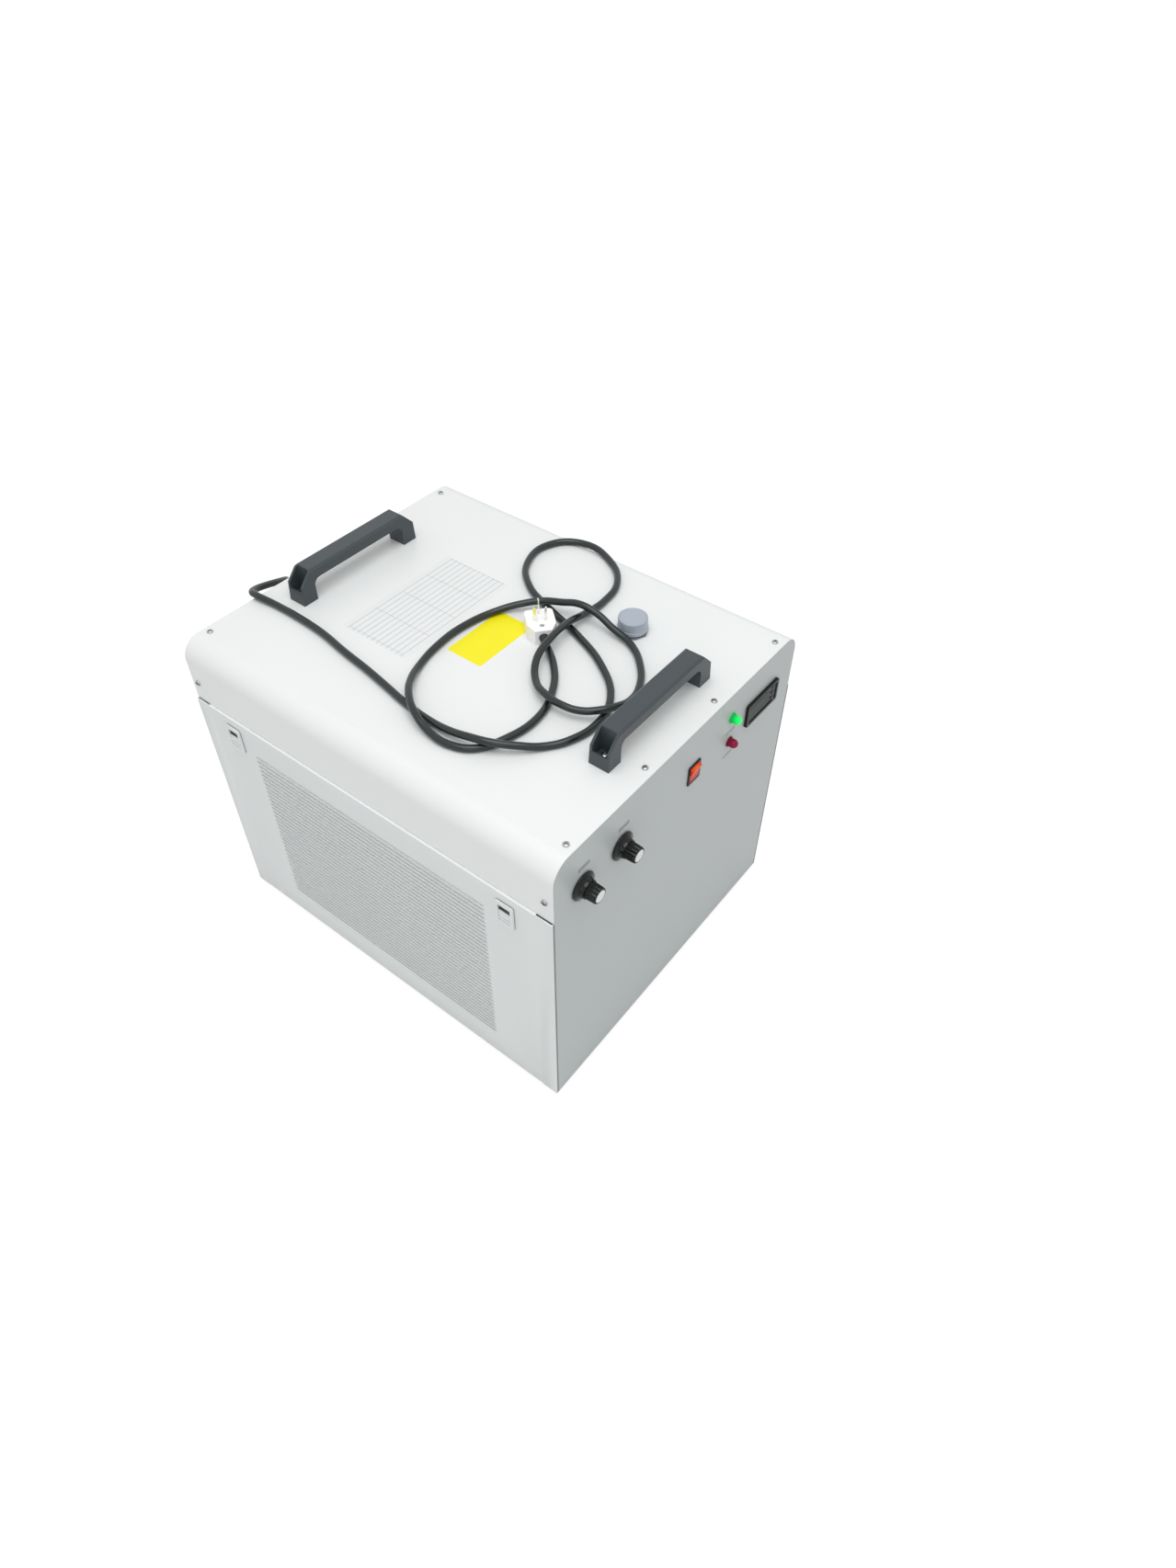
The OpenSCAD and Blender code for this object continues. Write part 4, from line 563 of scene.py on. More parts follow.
def makeLead():
    plug = plugFacts
    heading = math.radians(plug["turn"])
    last = (plug["place"][0] - plug["bootLength"] * math.cos(heading),
            plug["place"][1] - plug["bootLength"] * math.sin(heading), plug["place"][2] + plug["bootHeight"])
    points = [(x, y, z + lead["level"]) for x, y, z in leadPoints] + [last]
    curve = bpy.data.curves.new("mainsLead", "CURVE")
    curve.dimensions = "3D"
    spline = curve.splines.new("BEZIER")
    spline.bezier_points.add(len(points) - 1)
    for bend, point in zip(spline.bezier_points, points):
        bend.co = spot(point)
        bend.handle_left_type = bend.handle_right_type = "AUTO"
    spline.resolution_u = lead["stepsAlong"]
    curve.bevel_depth = lead["diameter"] / 2 * mm
    curve.bevel_resolution = lead["stepsAround"]
    curve.use_fill_caps = True
    cord = link(bpy.data.objects.new("mainsLead", curve))
    return finishPiece(cord, "cabinet", sheathBlack, "cord")


def bladeSet(name, grow, low, lineTop, earthTop):
    plug = plugFacts
    width, thick = plug["bladeWidth"] + grow, plug["bladeThick"] + grow
    outline = flat(roundedBox(width, thick, thick * 0.4, 2), low)
    across, slant = plug["lineAcross"], plug["slant"]
    seats = ((plug["lineAlong"], -across, -slant, lineTop), (plug["lineAlong"], across, slant, lineTop),
             (plug["earthAlong"], 0, 0, earthTop))
    return [settle(plate(name, outline, (0, 0, top - low)), facing("top", (x, y, 0), turn))
            for x, y, turn, top in seats]


def makePlug():
    plug = plugFacts
    half, far, corner, top = plug["width"] / 2, plug["length"], plug["corner"], plug["height"]
    outline = [(0, -plug["neck"]), (plug["shoulder"], -half)]
    outline += circlePoints(corner, 6, (far - corner, corner - half), -90, 0)
    outline += circlePoints(corner, 6, (far - corner, half - corner), 0, 90)
    outline += [(plug["shoulder"], half), (0, plug["neck"])]
    body = plate("plugBody", flat(outline), (0, 0, top))
    middle, edge = plug["screwAt"], half + plug["gripOut"]
    cutters = bladeSet("seat", plug["seat"], top - 1.2, top + 2, top + 2)
    cutters.append(rod("well", (middle, 0, top - 1.6), (middle, 0, top + 2), plug["well"]))
    cutters += [rod("grip", (x, side * edge, 2), (x, side * edge, top - 2), plug["grip"])
                for x in plug["grips"] for side in (-1, 1)]
    cut(body, *cutters)
    soften(body, 1.1, 3)
    screw = turned("plugScrew", [(0, top - 1.7), (2.7, top - 1.7), (2.7, top - 0.7), (2.2, top - 0.3),
                                 (0, top - 0.2)], 24)
    settle(screw, facing("top", (middle, 0, 0)))
    cut(screw, block("slot", (8, -0.4, top - 0.9), (15, 0.4, top + 1)))
    soften(screw, 0.1, 1)
    boot = turned("plugBoot", [(0, -plug["bootLength"]), *plug["boot"], (0, 2)], 32)
    settle(boot, facing("top", (0, 0, plug["bootHeight"])) @ Matrix.Rotation(math.radians(90), 4, "Y"))
    soften(boot, 0.15, 1)
    blades = bladeSet("blade", 0, top - 4, top + plug["lineLength"], top + plug["earthLength"])
    blades = soften(join("plugBlades", blades), 0.35, 2)
    pieces = [body, boot, screw, blades]
    for piece in pieces:
        settle(piece, facing("top", plug["place"], plug["turn"]))
    finishPiece(body, "cabinet", plugWhite, "plug")
    finishPiece(boot, "cabinet", rubberBlack)
    finishPiece(screw, "cabinet", screwSteel)
    finishPiece(blades, "cabinet", bladeBrass, "plug_blades")
    return pieces


glandFacts = {"place": (-20, 300, 358), "nut": 12, "nutHeight": 5, "nuts": (0, -6.2), "ribs": 5, "firstRib": 15,
              "pitch": 4, "rib": 7.4, "taper": 0.3,
              "body": [(0, -14), (8, -14), (8, 0), (11.2, 0), (11.2, 5), (10, 5.4), (10, 6), (9.7, 6.3),
                       (10, 6.8), (10, 10.5), (9, 12.6), (8, 13), (7.6, 14)],
              "end": [(5.9, 35.4), (5.6, 36), (0, 36)]}


def makeGland():
    g = glandFacts
    profile = list(g["body"])
    for k in range(g["ribs"]):
        base, wide = g["firstRib"] + g["pitch"] * k, g["rib"] - g["taper"] * k
        profile += [(wide - 0.7, base), (wide - 0.7, base + 1), (wide, base + 1.4), (wide - 0.1, base + 3.2)]
    relief = soften(turned("strainRelief", profile + g["end"], 40), 0.15, 1)
    nuts = [soften(plate("nut", flat(circlePoints(g["nut"], 6), low), (0, 0, g["nutHeight"])), 0.6, 2)
            for low in g["nuts"]]
    gland = settle(join("strainRelief", [relief, *nuts]), facing("back", g["place"]))
    return finishPiece(gland, "cabinet", glandBlack, "cable_gland")


cord = makeLead()
plugPieces = makePlug()
gland = makeGland()
plugPieces + [gland]
print("lead, plug and gland made")


# ---- top cover
cover = {"width": 500, "depth": 600, "top": 474, "seam": 385, "bend": 28, "sheet": 1.2, "bendSteps": 18,
         "hole": (121, -132, 14.3)}


def makeCover():
    c = cover
    half, flatHalf = c["width"] / 2, c["width"] / 2 - c["bend"]
    bendLow = c["top"] - c["bend"]
    profile = [(half, c["seam"])] + circlePoints(c["bend"], c["bendSteps"], (flatHalf, bendLow), 0, 90)
    profile += circlePoints(c["bend"], c["bendSteps"], (-flatHalf, bendLow), 90, 180) + [(-half, c["seam"])]
    piece = draw("topCover", [(x, -c["depth"] / 2, z) for x, z in profile])
    pull((0, c["depth"] * mm, 0))
    leave()
    turnFaces(piece, (0, 0, 1))
    apply(piece, "SOLIDIFY", thickness=c["sheet"] * mm, offset=-1)
    x, y, radius = c["hole"]
    cut(piece, rod("filler", (x, y, c["top"] - 34), (x, y, c["top"] + 16), radius, sides=48))
    soften(piece, 0.35, 2, 40)
    return finishPiece(piece, "cabinet", coverWhite, "top_cover")


# ---- side panels with formed louvres
panel = {"face": 252.7, "low": 8, "high": 384.2, "half": 300, "sheet": 1.2, "fold": 12, "edgeFold": 3.7,
         "innerHalf": 275.7, "rows": 35, "first": 60, "pitch": 8.1, "length": 396, "gap": 2.8, "hood": 1.6}
latch = {"y": 232, "z": 351, "window": (24.5, 33.7), "notch": (8.3, 5, 15, 3.9)}


def makeLouvre():
    gap, out = panel["gap"], panel["hood"]
    rise = gap * 0.6
    section = [(-0.6, -0.8), (0, -0.8), (out * 0.45, -0.45), (out * 0.8, 0.15), (out, rise - 0.8), (out, rise),
               (out - 0.5, rise), (out * 0.5, rise * 0.85), (0.25, rise * 0.9), (-0.6, gap * 0.6)]
    half = panel["length"] / 2
    stations = [(-half, 0.05), (-half + 0.7, 0.55), (-half + 2, 0.9), (-half + 4, 1)]
    stations += [(-y, s) for y, s in reversed(stations)]
    piece = draw("louvre", [(x * stations[0][1], stations[0][0], z) for x, z in section])
    bpy.ops.mesh.edge_face_add()
    for (y, share), (nextY, nextShare) in zip(stations, stations[1:]):
        pull((0, (nextY - y) * mm, 0))
        bpy.ops.transform.resize(value=(nextShare / share, 1, 1), center_override=(0, nextY * mm, 0))
    outward()
    return soften(piece, 0, 1, 60)


def makePanel(side):
    p, face = panel, panel["face"]
    corners = ((-p["half"], p["low"]), (p["half"], p["low"]), (p["half"], p["high"]), (-p["half"], p["high"]))
    piece = draw(side + "Panel", [(face, y, z) for y, z in corners])
    bpy.ops.mesh.edge_face_add()
    for y in (-p["innerHalf"], p["innerHalf"]):
        bpy.ops.mesh.select_all(action="SELECT")
        bpy.ops.mesh.bisect(plane_co=(0, y * mm, 0), plane_no=(0, 1, 0))
    leave()
    pickEdges(piece, lambda at, way: abs(way.z) > 0.9 and abs(at.y) > p["half"] - 1)
    pull((-p["edgeFold"] * mm, 0, 0))
    leave()
    pickEdges(piece, lambda at, way: abs(way.y) > 0.9 and abs(at.y) < 1 and at.x > face - 1
              and (at.z < p["low"] + 1 or at.z > p["high"] - 1))
    pull((-p["fold"] * mm, 0, 0))
    bpy.ops.mesh.select_all(action="SELECT")
    bpy.ops.mesh.normals_make_consistent(inside=False)
    leave()
    turnFaces(piece, (1, 0, 0))
    apply(piece, "BEVEL", width=1.1 * mm, segments=3, limit_method="ANGLE", angle_limit=math.radians(60))
    apply(piece, "SOLIDIFY", thickness=p["sheet"] * mm, offset=-1, use_even_offset=True)
    rows = [p["first"] + k * p["pitch"] for k in range(p["rows"])]
    reach = p["length"] / 2 - 1
    cutters = [block("slot", (face - 3, -reach, z), (face + 1, reach, z + p["gap"])) for z in rows]
    wide, tall = latch["window"]
    across, deep, back, near = latch["notch"]
    for name, half, low, high, inner, outer in (
            ("window", wide / 2, latch["z"] - tall / 2, latch["z"] + tall / 2, face - 4, face + 2),
            ("notch", across, p["high"] - deep, p["high"] + 2, face - back, face - near)):
        cutters += [block(name, (inner, y - half, low), (outer, y + half, high))
                    for y in (-latch["y"], latch["y"])]
    cut(piece, *cutters)
    soften(piece, 0, 1, 40)
    louvres = spread(makeLouvre(), "louvres", [facing("top", (face, 0, z)) for z in rows])
    piece = join(side + "Panel", [piece, louvres])
    if side == "left":  # mirrored across the cabinet
        hold(piece)
        piece.scale = (-1, 1, 1)
        freeze()
        turnFaces(piece, (-1, 0, 0))
    return finishPiece(piece, side + "_side", sidePaintWithPaintedLight, side + "_panel")


bezel = {"size": (27, 40, 3), "corner": 3, "step": 1, "window": (18, 28), "collar": (24.4, 33.6),
         "rail": (11, 12.2), "depth": 7.8, "lip": (1.6, 1.2)}


def makeBezel():
    b = bezel
    (wide, high, out), step = b["size"], b["step"]
    across, tall = b["collar"][0] / 2, b["collar"][1] / 2
    piece = plate("bezel", flat(roundedBox(wide, high, b["corner"])), (0, 0, out - step))
    upper = flat(roundedBox(wide - step, high - step, b["corner"]), out / 2)
    cut(piece, plate("upper", upper, (0, 0, out / 2)), operation="UNION")
    cut(piece, block("collar", (-across, -tall, -panel["sheet"]), (across, tall, step)), operation="UNION")
    near, far = b["rail"]
    reach, thick = b["lip"]
    rails = []
    for s in (-1, 1):
        low, high = sorted((s * near, s * far))
        rail = block("rail", (low, -tall, -b["depth"]), (high, tall, 0))
        low, high = sorted((s * (near - reach), s * (near + 0.5)))
        lip = block("lip", (low, -tall, -b["depth"]), (high, tall, thick - b["depth"]))
        rails.append(cut(rail, lip, operation="UNION"))
    cut(piece, *rails, operation="UNION")
    across, tall = b["window"][0] / 2, b["window"][1] / 2
    cut(piece, block("window", (-across, -tall, -20), (across, tall, 20)))
    return soften(piece, 0.4, 3)


slide = {"thumb": (8.9, -13.9, 3.6, 2), "ridges": (-9.5, -4.5), "ridge": (8.8, 1.6, 1.2),
         "plate": (10.85, -16.8, 23.9), "front": -1.6, "back": -6.5, "tongue": (8, 31.3, 1.7)}


def makeSlide(name):
    half, low, high, out = slide["thumb"]
    pieces = [soften(block(name, (-half, low, slide["front"] - 0.4), (half, high, out)), 0.5, 3)]
    reach, thick, proud = slide["ridge"]
    for z in slide["ridges"]:
        ridge = block("ridge", (-reach, z, out - 0.5), (reach, z + thick, out + proud))
        pieces.append(soften(ridge, 0.35, 3))
    half, low, high = slide["plate"]
    carrier = block("carrier", (-half, low, slide["back"]), (half, high, slide["front"]))
    half, high, thick = slide["tongue"]
    tongue = block("tongue", (-half, low, slide["back"]), (half, high, slide["back"] + thick))
    cut(carrier, tongue, operation="UNION")
    return join(name, pieces + [soften(carrier, 0.3)])


makeCover()
for side in ("left", "right"):
    makePanel(side)
    finishPiece(fromFrame(side + "Filter", side + "_filter", 0.5), side + "_side", foamBlack,
                side + "_filter")
    face = panel["face"] * (1 if side == "right" else -1)
    places = [facing(side, (face, s * latch["y"], latch["z"])) for s in (-1, 1)]
    finishPiece(spread(makeBezel(), side + "LatchBezels", places), side + "_side", latchWhiteWithShade,
                side + "_latch_bezels")
    for end, place in zip(("front", "back"), places):
        made = settle(makeSlide(side + end.capitalize() + "Slide"), place)
        finishPiece(made, side + "_" + end + "_latch", latchWhiteWithShade, side + "_" + end + "_slide")
print("cover and side panels made")


# ---- carry handles
handle = {"half": 103, "height": 46, "width": 28, "toe": 27, "slant": 20, "draft": 2, "leg": 23, "curve": 10,
          "under": 30.5, "crown": (4, 3), "wall": 3.6, "pocket": 15.4, "endWall": 18.5, "floor": 10, "y": 247,
          "level": 474, "screwAt": 91}


def makeHandle():
    h = handle
    inner = h["half"] - h["leg"]
    outline = [(-h["half"], 0), (h["draft"] - h["half"], h["toe"]), (h["slant"] - h["half"], h["height"]),
               (h["half"] - h["slant"], h["height"]), (h["half"] - h["draft"], h["toe"]), (h["half"], 0),
               (inner, 0)]
    outline += circlePoints(h["curve"], 8, (inner - h["curve"], h["under"] - h["curve"]), 0, 90)
    outline += circlePoints(h["curve"], 8, (h["curve"] - inner, h["under"] - h["curve"]), 90, 180)
    outline += [(-inner, 0)]
    half = h["width"] / 2
    piece = plate("handle", [(x, -half, z) for x, z in outline], (0, h["width"], 0))
    for side in (-1, 1):
        shave(piece, (0, side * half, h["height"] - h["crown"][1]), (0, side * h["crown"][1], h["crown"][0]))
    across = half - h["wall"]
    for side in (-1, 1):
        middle = side * (h["half"] - h["wall"] - h["pocket"] / 2)
        pocket = plate("pocket", flat(roundedBox(h["pocket"], 2 * across, 1.5, 3), h["floor"]), (0, 0, 50))
        settle(pocket, facing("top", (middle, 0, 0)))
        low, high = sorted((middle, 2 * middle))
        cut(pocket, block("mouth", (low, -across, h["endWall"]), (high, across, 60)), operation="UNION")
        cut(piece, pocket)
    return soften(piece, 0.9, 3, 25)


screws = {"rows": (-212.5, -70.83, 70.83, 212.5), "along": 288, "skirt": 414, "turn": 37,
          "slot": (3.3, 0.7, 1.1, 2.3), "cover": (4, 2.2, 8, 2), "handle": (5, 3.5, 16, 3)}


def makeScrew(name, headRadius, headHeight, length, radius):
    profile = [(0, -length), (radius * 0.6, -length), (radius, -length + radius), (radius, -0.3),
               (radius + 0.1, 0), (headRadius, 0), (headRadius, headHeight * 0.45),
               (headRadius * 0.9, headHeight * 0.75), (headRadius * 0.66, headHeight * 0.95),
               (0, headHeight)]
    piece = turned(name, profile, 28)
    reach, wide, deep = headRadius * 0.62, headRadius * 0.13, headHeight * 0.35
    bars = [block("bar", (-reach, -wide, deep), (reach, wide, headHeight + 1)),
            block("bar", (-wide, -reach, deep), (wide, reach, headHeight + 1))]
    cut(bars[0], bars[1], operation="UNION")
    cut(piece, bars[0])
    soften(piece, 0.12, 1)
    # painted shadow: a thin black disc in the cross recess
    rim = (reach, deep * 0.9), (reach, deep * 0.9 + 0.05)
    recessShadow = turned("recessShadow", [(0, deep * 0.9), *rim, (0, deep * 0.9 + 0.05)], 16)
    return piece, recessShadow


def setScrews(name, sizes, places, replaces):
    head, recessShadow = makeScrew(name, *sizes)
    finishPiece(spread(head, name, places), "cabinet", screwSteel, replaces)
    finishPiece(spread(recessShadow, name[:-1] + "RecessShadows", places), "cabinet", paintedShadowBlack)


def makeScrews():
    s, top = screws, cover["top"]
    spots = [(x, side * s["along"]) for x in s["rows"] for side in (-1, 1)]
    places = [facing("top", (x, y, top), 20 + s["turn"] * k) for k, (x, y) in enumerate(spots)]
    skirt = [facing(side, (x, end * s["along"], s["skirt"]))
             for side, x in (("left", -cover["width"] / 2), ("right", cover["width"] / 2)) for end in (-1, 1)]
    wide, thin, low, high = s["slot"]
    # painted shadow: a black bar across each skirt screw's head, where its slot lies in shade
    slotShadows = block("coverScrewSlotShadows", (-wide, -thin, low), (wide, thin, high))
    finishPiece(spread(slotShadows, "coverScrewSlotShadows", skirt), "cabinet", paintedShadowBlack)
    setScrews("coverScrews", s["cover"], places + skirt, "cover_screws")
    level = handle["level"] + handle["floor"]
    places = [facing("top", (side * handle["screwAt"], end * handle["y"], level), 30 * side + 10 * end)
              for side in (-1, 1) for end in (-1, 1)]
    setScrews("handleScrews", s["handle"], places, "handle_screws")


grip = makeHandle()
for end, y in (("front", -handle["y"]), ("back", handle["y"])):
    finishPiece(another(grip, end + "Handle", facing("top", (0, y, handle["level"]))), "cabinet",
                handleBlack, end + "_handle")
bpy.data.objects.remove(grip)
makeScrews()
print("handles and screws made")


# ---- filler ring, gasket and cap
filler = {"place": (121, -132, 474), "ring": 21, "ringHeight": 2.5, "inside": 14.6, "gasket": 18.5,
          "neck": 14, "bore": 11.5, "neckLow": -134, "neckHigh": 13, "threads": 5, "pitch": 2,
          "cap": 20, "capInside": 14.4, "capLow": 4, "capHigh": 22}


def makeFiller():
    f = filler
    at = facing("top", f["place"])
    ring = soften(plate("ring", flat(circlePoints(f["ring"], 8)), (0, 0, f["ringHeight"])), 0.7, 3)
    r, bore = f["neck"], f["bore"]
    outline = [(r, f["neckLow"]), (r, 3)]
    for k in range(f["threads"]):
        base = f["pitch"] * k
        outline += [(r - 0.9, 3.4 + base), (r - 0.9, 4.0 + base), (r, 4.5 + base), (r, 5.0 + base)]
    outline += [(r - 0.6, f["neckHigh"]), (bore, f["neckHigh"]), (bore, f["neckLow"]), (r, f["neckLow"])]
    neck = soften(turned("neck", outline, 48), 0, 1, 40)
    neck = settle(join("fillerNeck", [neck, ring]), at)
    finishPiece(neck, "cabinet", neckGrey, "filler_neck")
    r, near, low, high = f["gasket"], f["inside"], f["ringHeight"], f["capLow"]
    outline = [(near, low), (r - 0.1, low), (r, low + 0.7), (r - 0.1, high), (near, high), (near, low)]
    gasket = settle(soften(turned("fillerGasket", outline, 48), 0.2, 2), at)
    finishPiece(gasket, "filler_thread", rubberBlack, "filler_gasket")
    r, near, low, high = f["cap"], f["capInside"], f["capLow"], f["capHigh"]
    outline = [(near, low), (r - 0.4, low), (r, low + 0.4), (r, low + 4.2), (r - 0.4, low + 4.8),
               (r - 0.9, low + 5.2), (r - 0.8, high - 1.6), (r - 1.2, high - 0.5), (r - 2, high),
               (r - 3, high - 0.2), (r - 3.6, high - 0.9), (r - 5, high - 1.1), (0, high - 1.1),
               (0, high - 3), (near, high - 3), (near, low)]
    cap = settle(soften(turned("fillerCap", outline, 96), 0, 1, 40), at)
    finishPiece(cap, "filler_lid", capGrey, "filler_cap")


makeFiller()
print("filler made")


# ---- front panel and its controls
front = {"y": -300, "knobs": ((-200, "left"), (-128, "right")), "knobZ": 403, "thermostat": (172, 409),
         "switch": (18, 404), "lamps": ((433, "green"), (393, "red")), "lampX": 100}
knob = {"points": 108, "waves": 9, "radius": 11.3, "wave": 0.95, "power": 0.6,
        "steps": ((8, 1), (12, 0.97), (22.6, 0.93), (24.2, 0.9), (25, 0.83)),
        "skirt": [(3.1, 1), (18.4, 1), (19, 1.6), (19, 2.4), (18.6, 3), (16, 4.1), (14.4, 4.9), (13.2, 6.2),
                  (12.6, 8), (12.2, 10.2), (9.5, 10.2), (3.1, 10.2), (3.1, 1)],
        "cap": [(0, 23.8), (8.1, 23.8), (8.1, 24.6), (7.8, 25), (7.2, 25), (7.0, 24.8), (5.2, 24.75),
                (5.0, 24.6), (3.0, 24.55), (2.8, 24.45), (0, 24.4)]}


def onFront(x, z):
    return facing("front", (x, front["y"], z))


def makeKnob(x, side):
    outline = []
    for k in range(knob["points"]):
        angle = fullTurn * k / knob["points"]
        radius = knob["radius"] - knob["wave"] * abs(math.sin(knob["waves"] * angle)) ** knob["power"]
        outline.append((radius * math.cos(angle), radius * math.sin(angle)))
    steps = knob["steps"]
    body = draw("grip", flat(outline, steps[0][0]))
    bpy.ops.mesh.edge_face_add()
    for (low, wide), (high, narrow) in zip(steps, steps[1:]):
        pull(spot((0, 0, high - low)))
        bpy.ops.transform.resize(value=(narrow / wide, narrow / wide, 1), center_override=(0, 0, 0))
    outward()
    skirt = turned("skirt", knob["skirt"], 64)
    seat = rod("capSeat", (0, 0, 23.8), (0, 0, 27), 8.2, sides=48)
    cut(body, seat, block("notch", (-0.8, -14, 20), (0.8, -9, 27)))
    soften(body, 0.12, 1, 50)
    soften(skirt, 0.15, 2, 50)
    at = onFront(x, front["knobZ"])
    finishPiece(settle(join(side + "Knob", [body, skirt]), at), side + "_dial", knobBlack,
                side + "_knob")
    cap = soften(turned(side + "KnobCap", knob["cap"], 48), 0, 1, 30)
    finishPiece(settle(cap, at), side + "_dial", capSilver, side + "_knob_cap")


thermostat = {"case": (75, 35, 2.5), "proud": 4.5, "inset": (66, 27, 1.5), "insetLow": 3.2, "pane": (44, 20),
              "paneAt": (-10, 0), "keyX": 25, "keyPitch": 9, "well": 2.6, "body": (35.2, 15.2, 58), "vents": 10,
              "key": [(0, 1.2), (2.34, 1.2), (2.34, 4.4), (2.1, 4.9), (1.2, 5.3), (0, 5.4)]}


def makeThermostat():
    t, (x, z) = thermostat, front["thermostat"]
    at = onFront(x, z)
    (wide, tall), (half, up, deep) = t["pane"], t["body"]
    case = plate("thermostatCase", flat(roundedBox(*t["case"])), (0, 0, t["proud"]))
    cut(case, plate("inset", flat(roundedBox(*t["inset"]), t["insetLow"]), (0, 0, 3)))
    cut(case, plate("pane", flat(roundedBox(wide + 0.4, tall + 0.4, 1, 4, t["paneAt"]), 2.0), (0, 0, 3)),
        *[rod("well", (t["keyX"], k * t["keyPitch"], 0.3), (t["keyX"], k * t["keyPitch"], 6), t["well"])
          for k in (-1, 0, 1)])
    soften(case, 0.7, 3)
    body = block("body", (-half, -up, -deep), (half, up, 0.2))
    cut(body, *[block("slot", (-30 + 6 * k, -17, -50), (-28 + 6 * k, -14.2, -20)) for k in range(t["vents"])])
    soften(body, 0.4, 2)
    case = settle(join("thermostatCase", [case, body]), at)
    finishPiece(case, "cabinet", caseBlack, "thermostat_case")
    pane = plate("thermostatWindow", flat(roundedBox(wide, tall, 0.9, 4, t["paneAt"]), 2.0), (0, 0, 1.4))
    finishPiece(settle(soften(pane, 0.25), at), "cabinet", windowDark, "thermostat_window")
    for name, k in (("set", 1), ("up", 0), ("down", -1)):
        key = soften(turned(name + "Key", t["key"], 28), 0, 1, 50)
        settle(key, onFront(x + t["keyX"], z + k * t["keyPitch"]))
        finishPiece(key, name + "_button", keyGrey, name + "_key")


switch = {"frame": (25.5, 30.5, 2), "proud": 2, "hole": (9.6, 11.9), "holeLow": -7.6, "body": (10.8, 13.3, 24),
          "tab": (1.5, 0.4), "tabPitch": 5.9, "tabs": (-32, -23.5)}


def makeSwitch():
    s, (x, z) = switch, front["switch"]
    (wide, tall), (half, up, deep) = s["hole"], s["body"]
    housing = plate("switchHousing", flat(roundedBox(*s["frame"])), (0, 0, s["proud"]))
    soften(cut(housing, block("well", (-wide, -tall, 0.4), (wide, tall, 4))), 0.5, 3)
    body = block("body", (-half, -up, -deep), (half, up, 0.1))
    cut(body, block("hollow", (-wide, -tall, s["holeLow"]), (wide, tall, 2)))
    soften(body, 0.3, 2)
    (across, thick), (low, high) = s["tab"], s["tabs"]
    tabs = [block("tab", (-across, y - thick, low), (across, y + thick, high))
            for y in (-s["tabPitch"], 0, s["tabPitch"])]
    housing = settle(join("switchHousing", [housing, body, *tabs]), onFront(x, z))
    finishPiece(housing, "cabinet", caseBlack, "switch_housing")
    rocker = fromFrame("switchRocker", "switch_rocker", 0.6, 3)
    finishPiece(rocker, "rocker", rockerRed, "switch_rocker")


lampShape = {"rim": [(0, 0.2), (6.9, 0.2), (7.2, 0.5), (7.2, 1.6), (6.8, 2), (6.1, 2.05), (6, 2.5), (6, 7.2)],
             "dome": 6, "domeLow": 7.0, "ridges": 9, "pitch": 2, "stem": 4, "root": 3.6, "stemLow": -22,
             "nut": 6.8, "nutLow": -5.2, "nutHeight": 4}


def makeLamp(z, colour):
    s = lampShape
    at = onFront(front["lampX"], z)
    dome, low = s["dome"], s["domeLow"]
    profile = s["rim"] + [(dome * math.cos(math.radians(a)), low + dome * math.sin(math.radians(a)))
                          for a in range(8, 90, 8)]
    lens = settle(soften(turned(colour + "Lamp", profile + [(0, low + dome)], 48), 0, 1, 45), at)
    wide, root, low = s["stem"], s["root"], s["stemLow"]
    tail = [(0, low), (root, low), (wide, low + 0.5)]
    for k in range(s["ridges"]):
        base = low + 1 + s["pitch"] * k
        tail += [(wide, base), (root, base + 0.5), (root, base + 1), (wide, base + 1.5)]
    stem = soften(turned("stem", tail + [(wide, 0.3), (0, 0.3)], 24), 0, 1, 40)
    nut = soften(plate("nut", flat(circlePoints(s["nut"], 6), s["nutLow"]), (0, 0, s["nutHeight"])), 0.4, 2)
    glow = lampGreen if colour == "green" else lampRed
    finishPiece(lens, "cabinet", glow, colour + "_lamp")
    finishPiece(settle(join(colour + "LampStem", [stem, nut]), at), "cabinet", keyGrey)


labels = {"knob": (20, 6, 0.8), "knobAt": (3, 30), "lamp": (21, 3, 0.5), "lampDown": 22, "thick": 0.15,
          "yellow": (100, 55, 3), "yellowAt": (-3, 0.5, 474), "ruled": (196, 112, 3), "ruledAt": (-1, 111, 474)}


def makeLabel(name, size, thick, place, material, steps=3, edge=None):
    label = settle(plate(name, flat(roundedBox(*size, steps)), (0, 0, thick)), place)
    finishPiece(soften(label, edge, 1) if edge else label, "cabinet", material)


def makeLabels():
    s, (right, up) = labels, labels["knobAt"]
    for x, side in front["knobs"]:
        place = onFront(x + right, front["knobZ"] + up)
        makeLabel(side + "KnobLabel", s["knob"], s["thick"], place, labelBlank)
    for z, colour in front["lamps"]:
        place = onFront(front["lampX"], z - s["lampDown"])
        makeLabel(colour + "LampLabel", s["lamp"], s["thick"], place, labelBlank)
    makeLabel("yellowLabel", s["yellow"], 0.18, facing("top", s["yellowAt"]), labelYellow, 4, 0.05)
    makeLabel("ruledLabel", s["ruled"], 0.12, facing("top", s["ruledAt"]), labelRuled, 4, 0.04)


finishPiece(fromFrame("frontPanel", "front_panel", 0.3), "cabinet", frontGrey, "front_panel")
for x, side in front["knobs"]:
    makeKnob(x, side)
makeThermostat()
makeSwitch()
for z, colour in front["lamps"]:
    makeLamp(z, colour)
makeLabels()
print("front made")


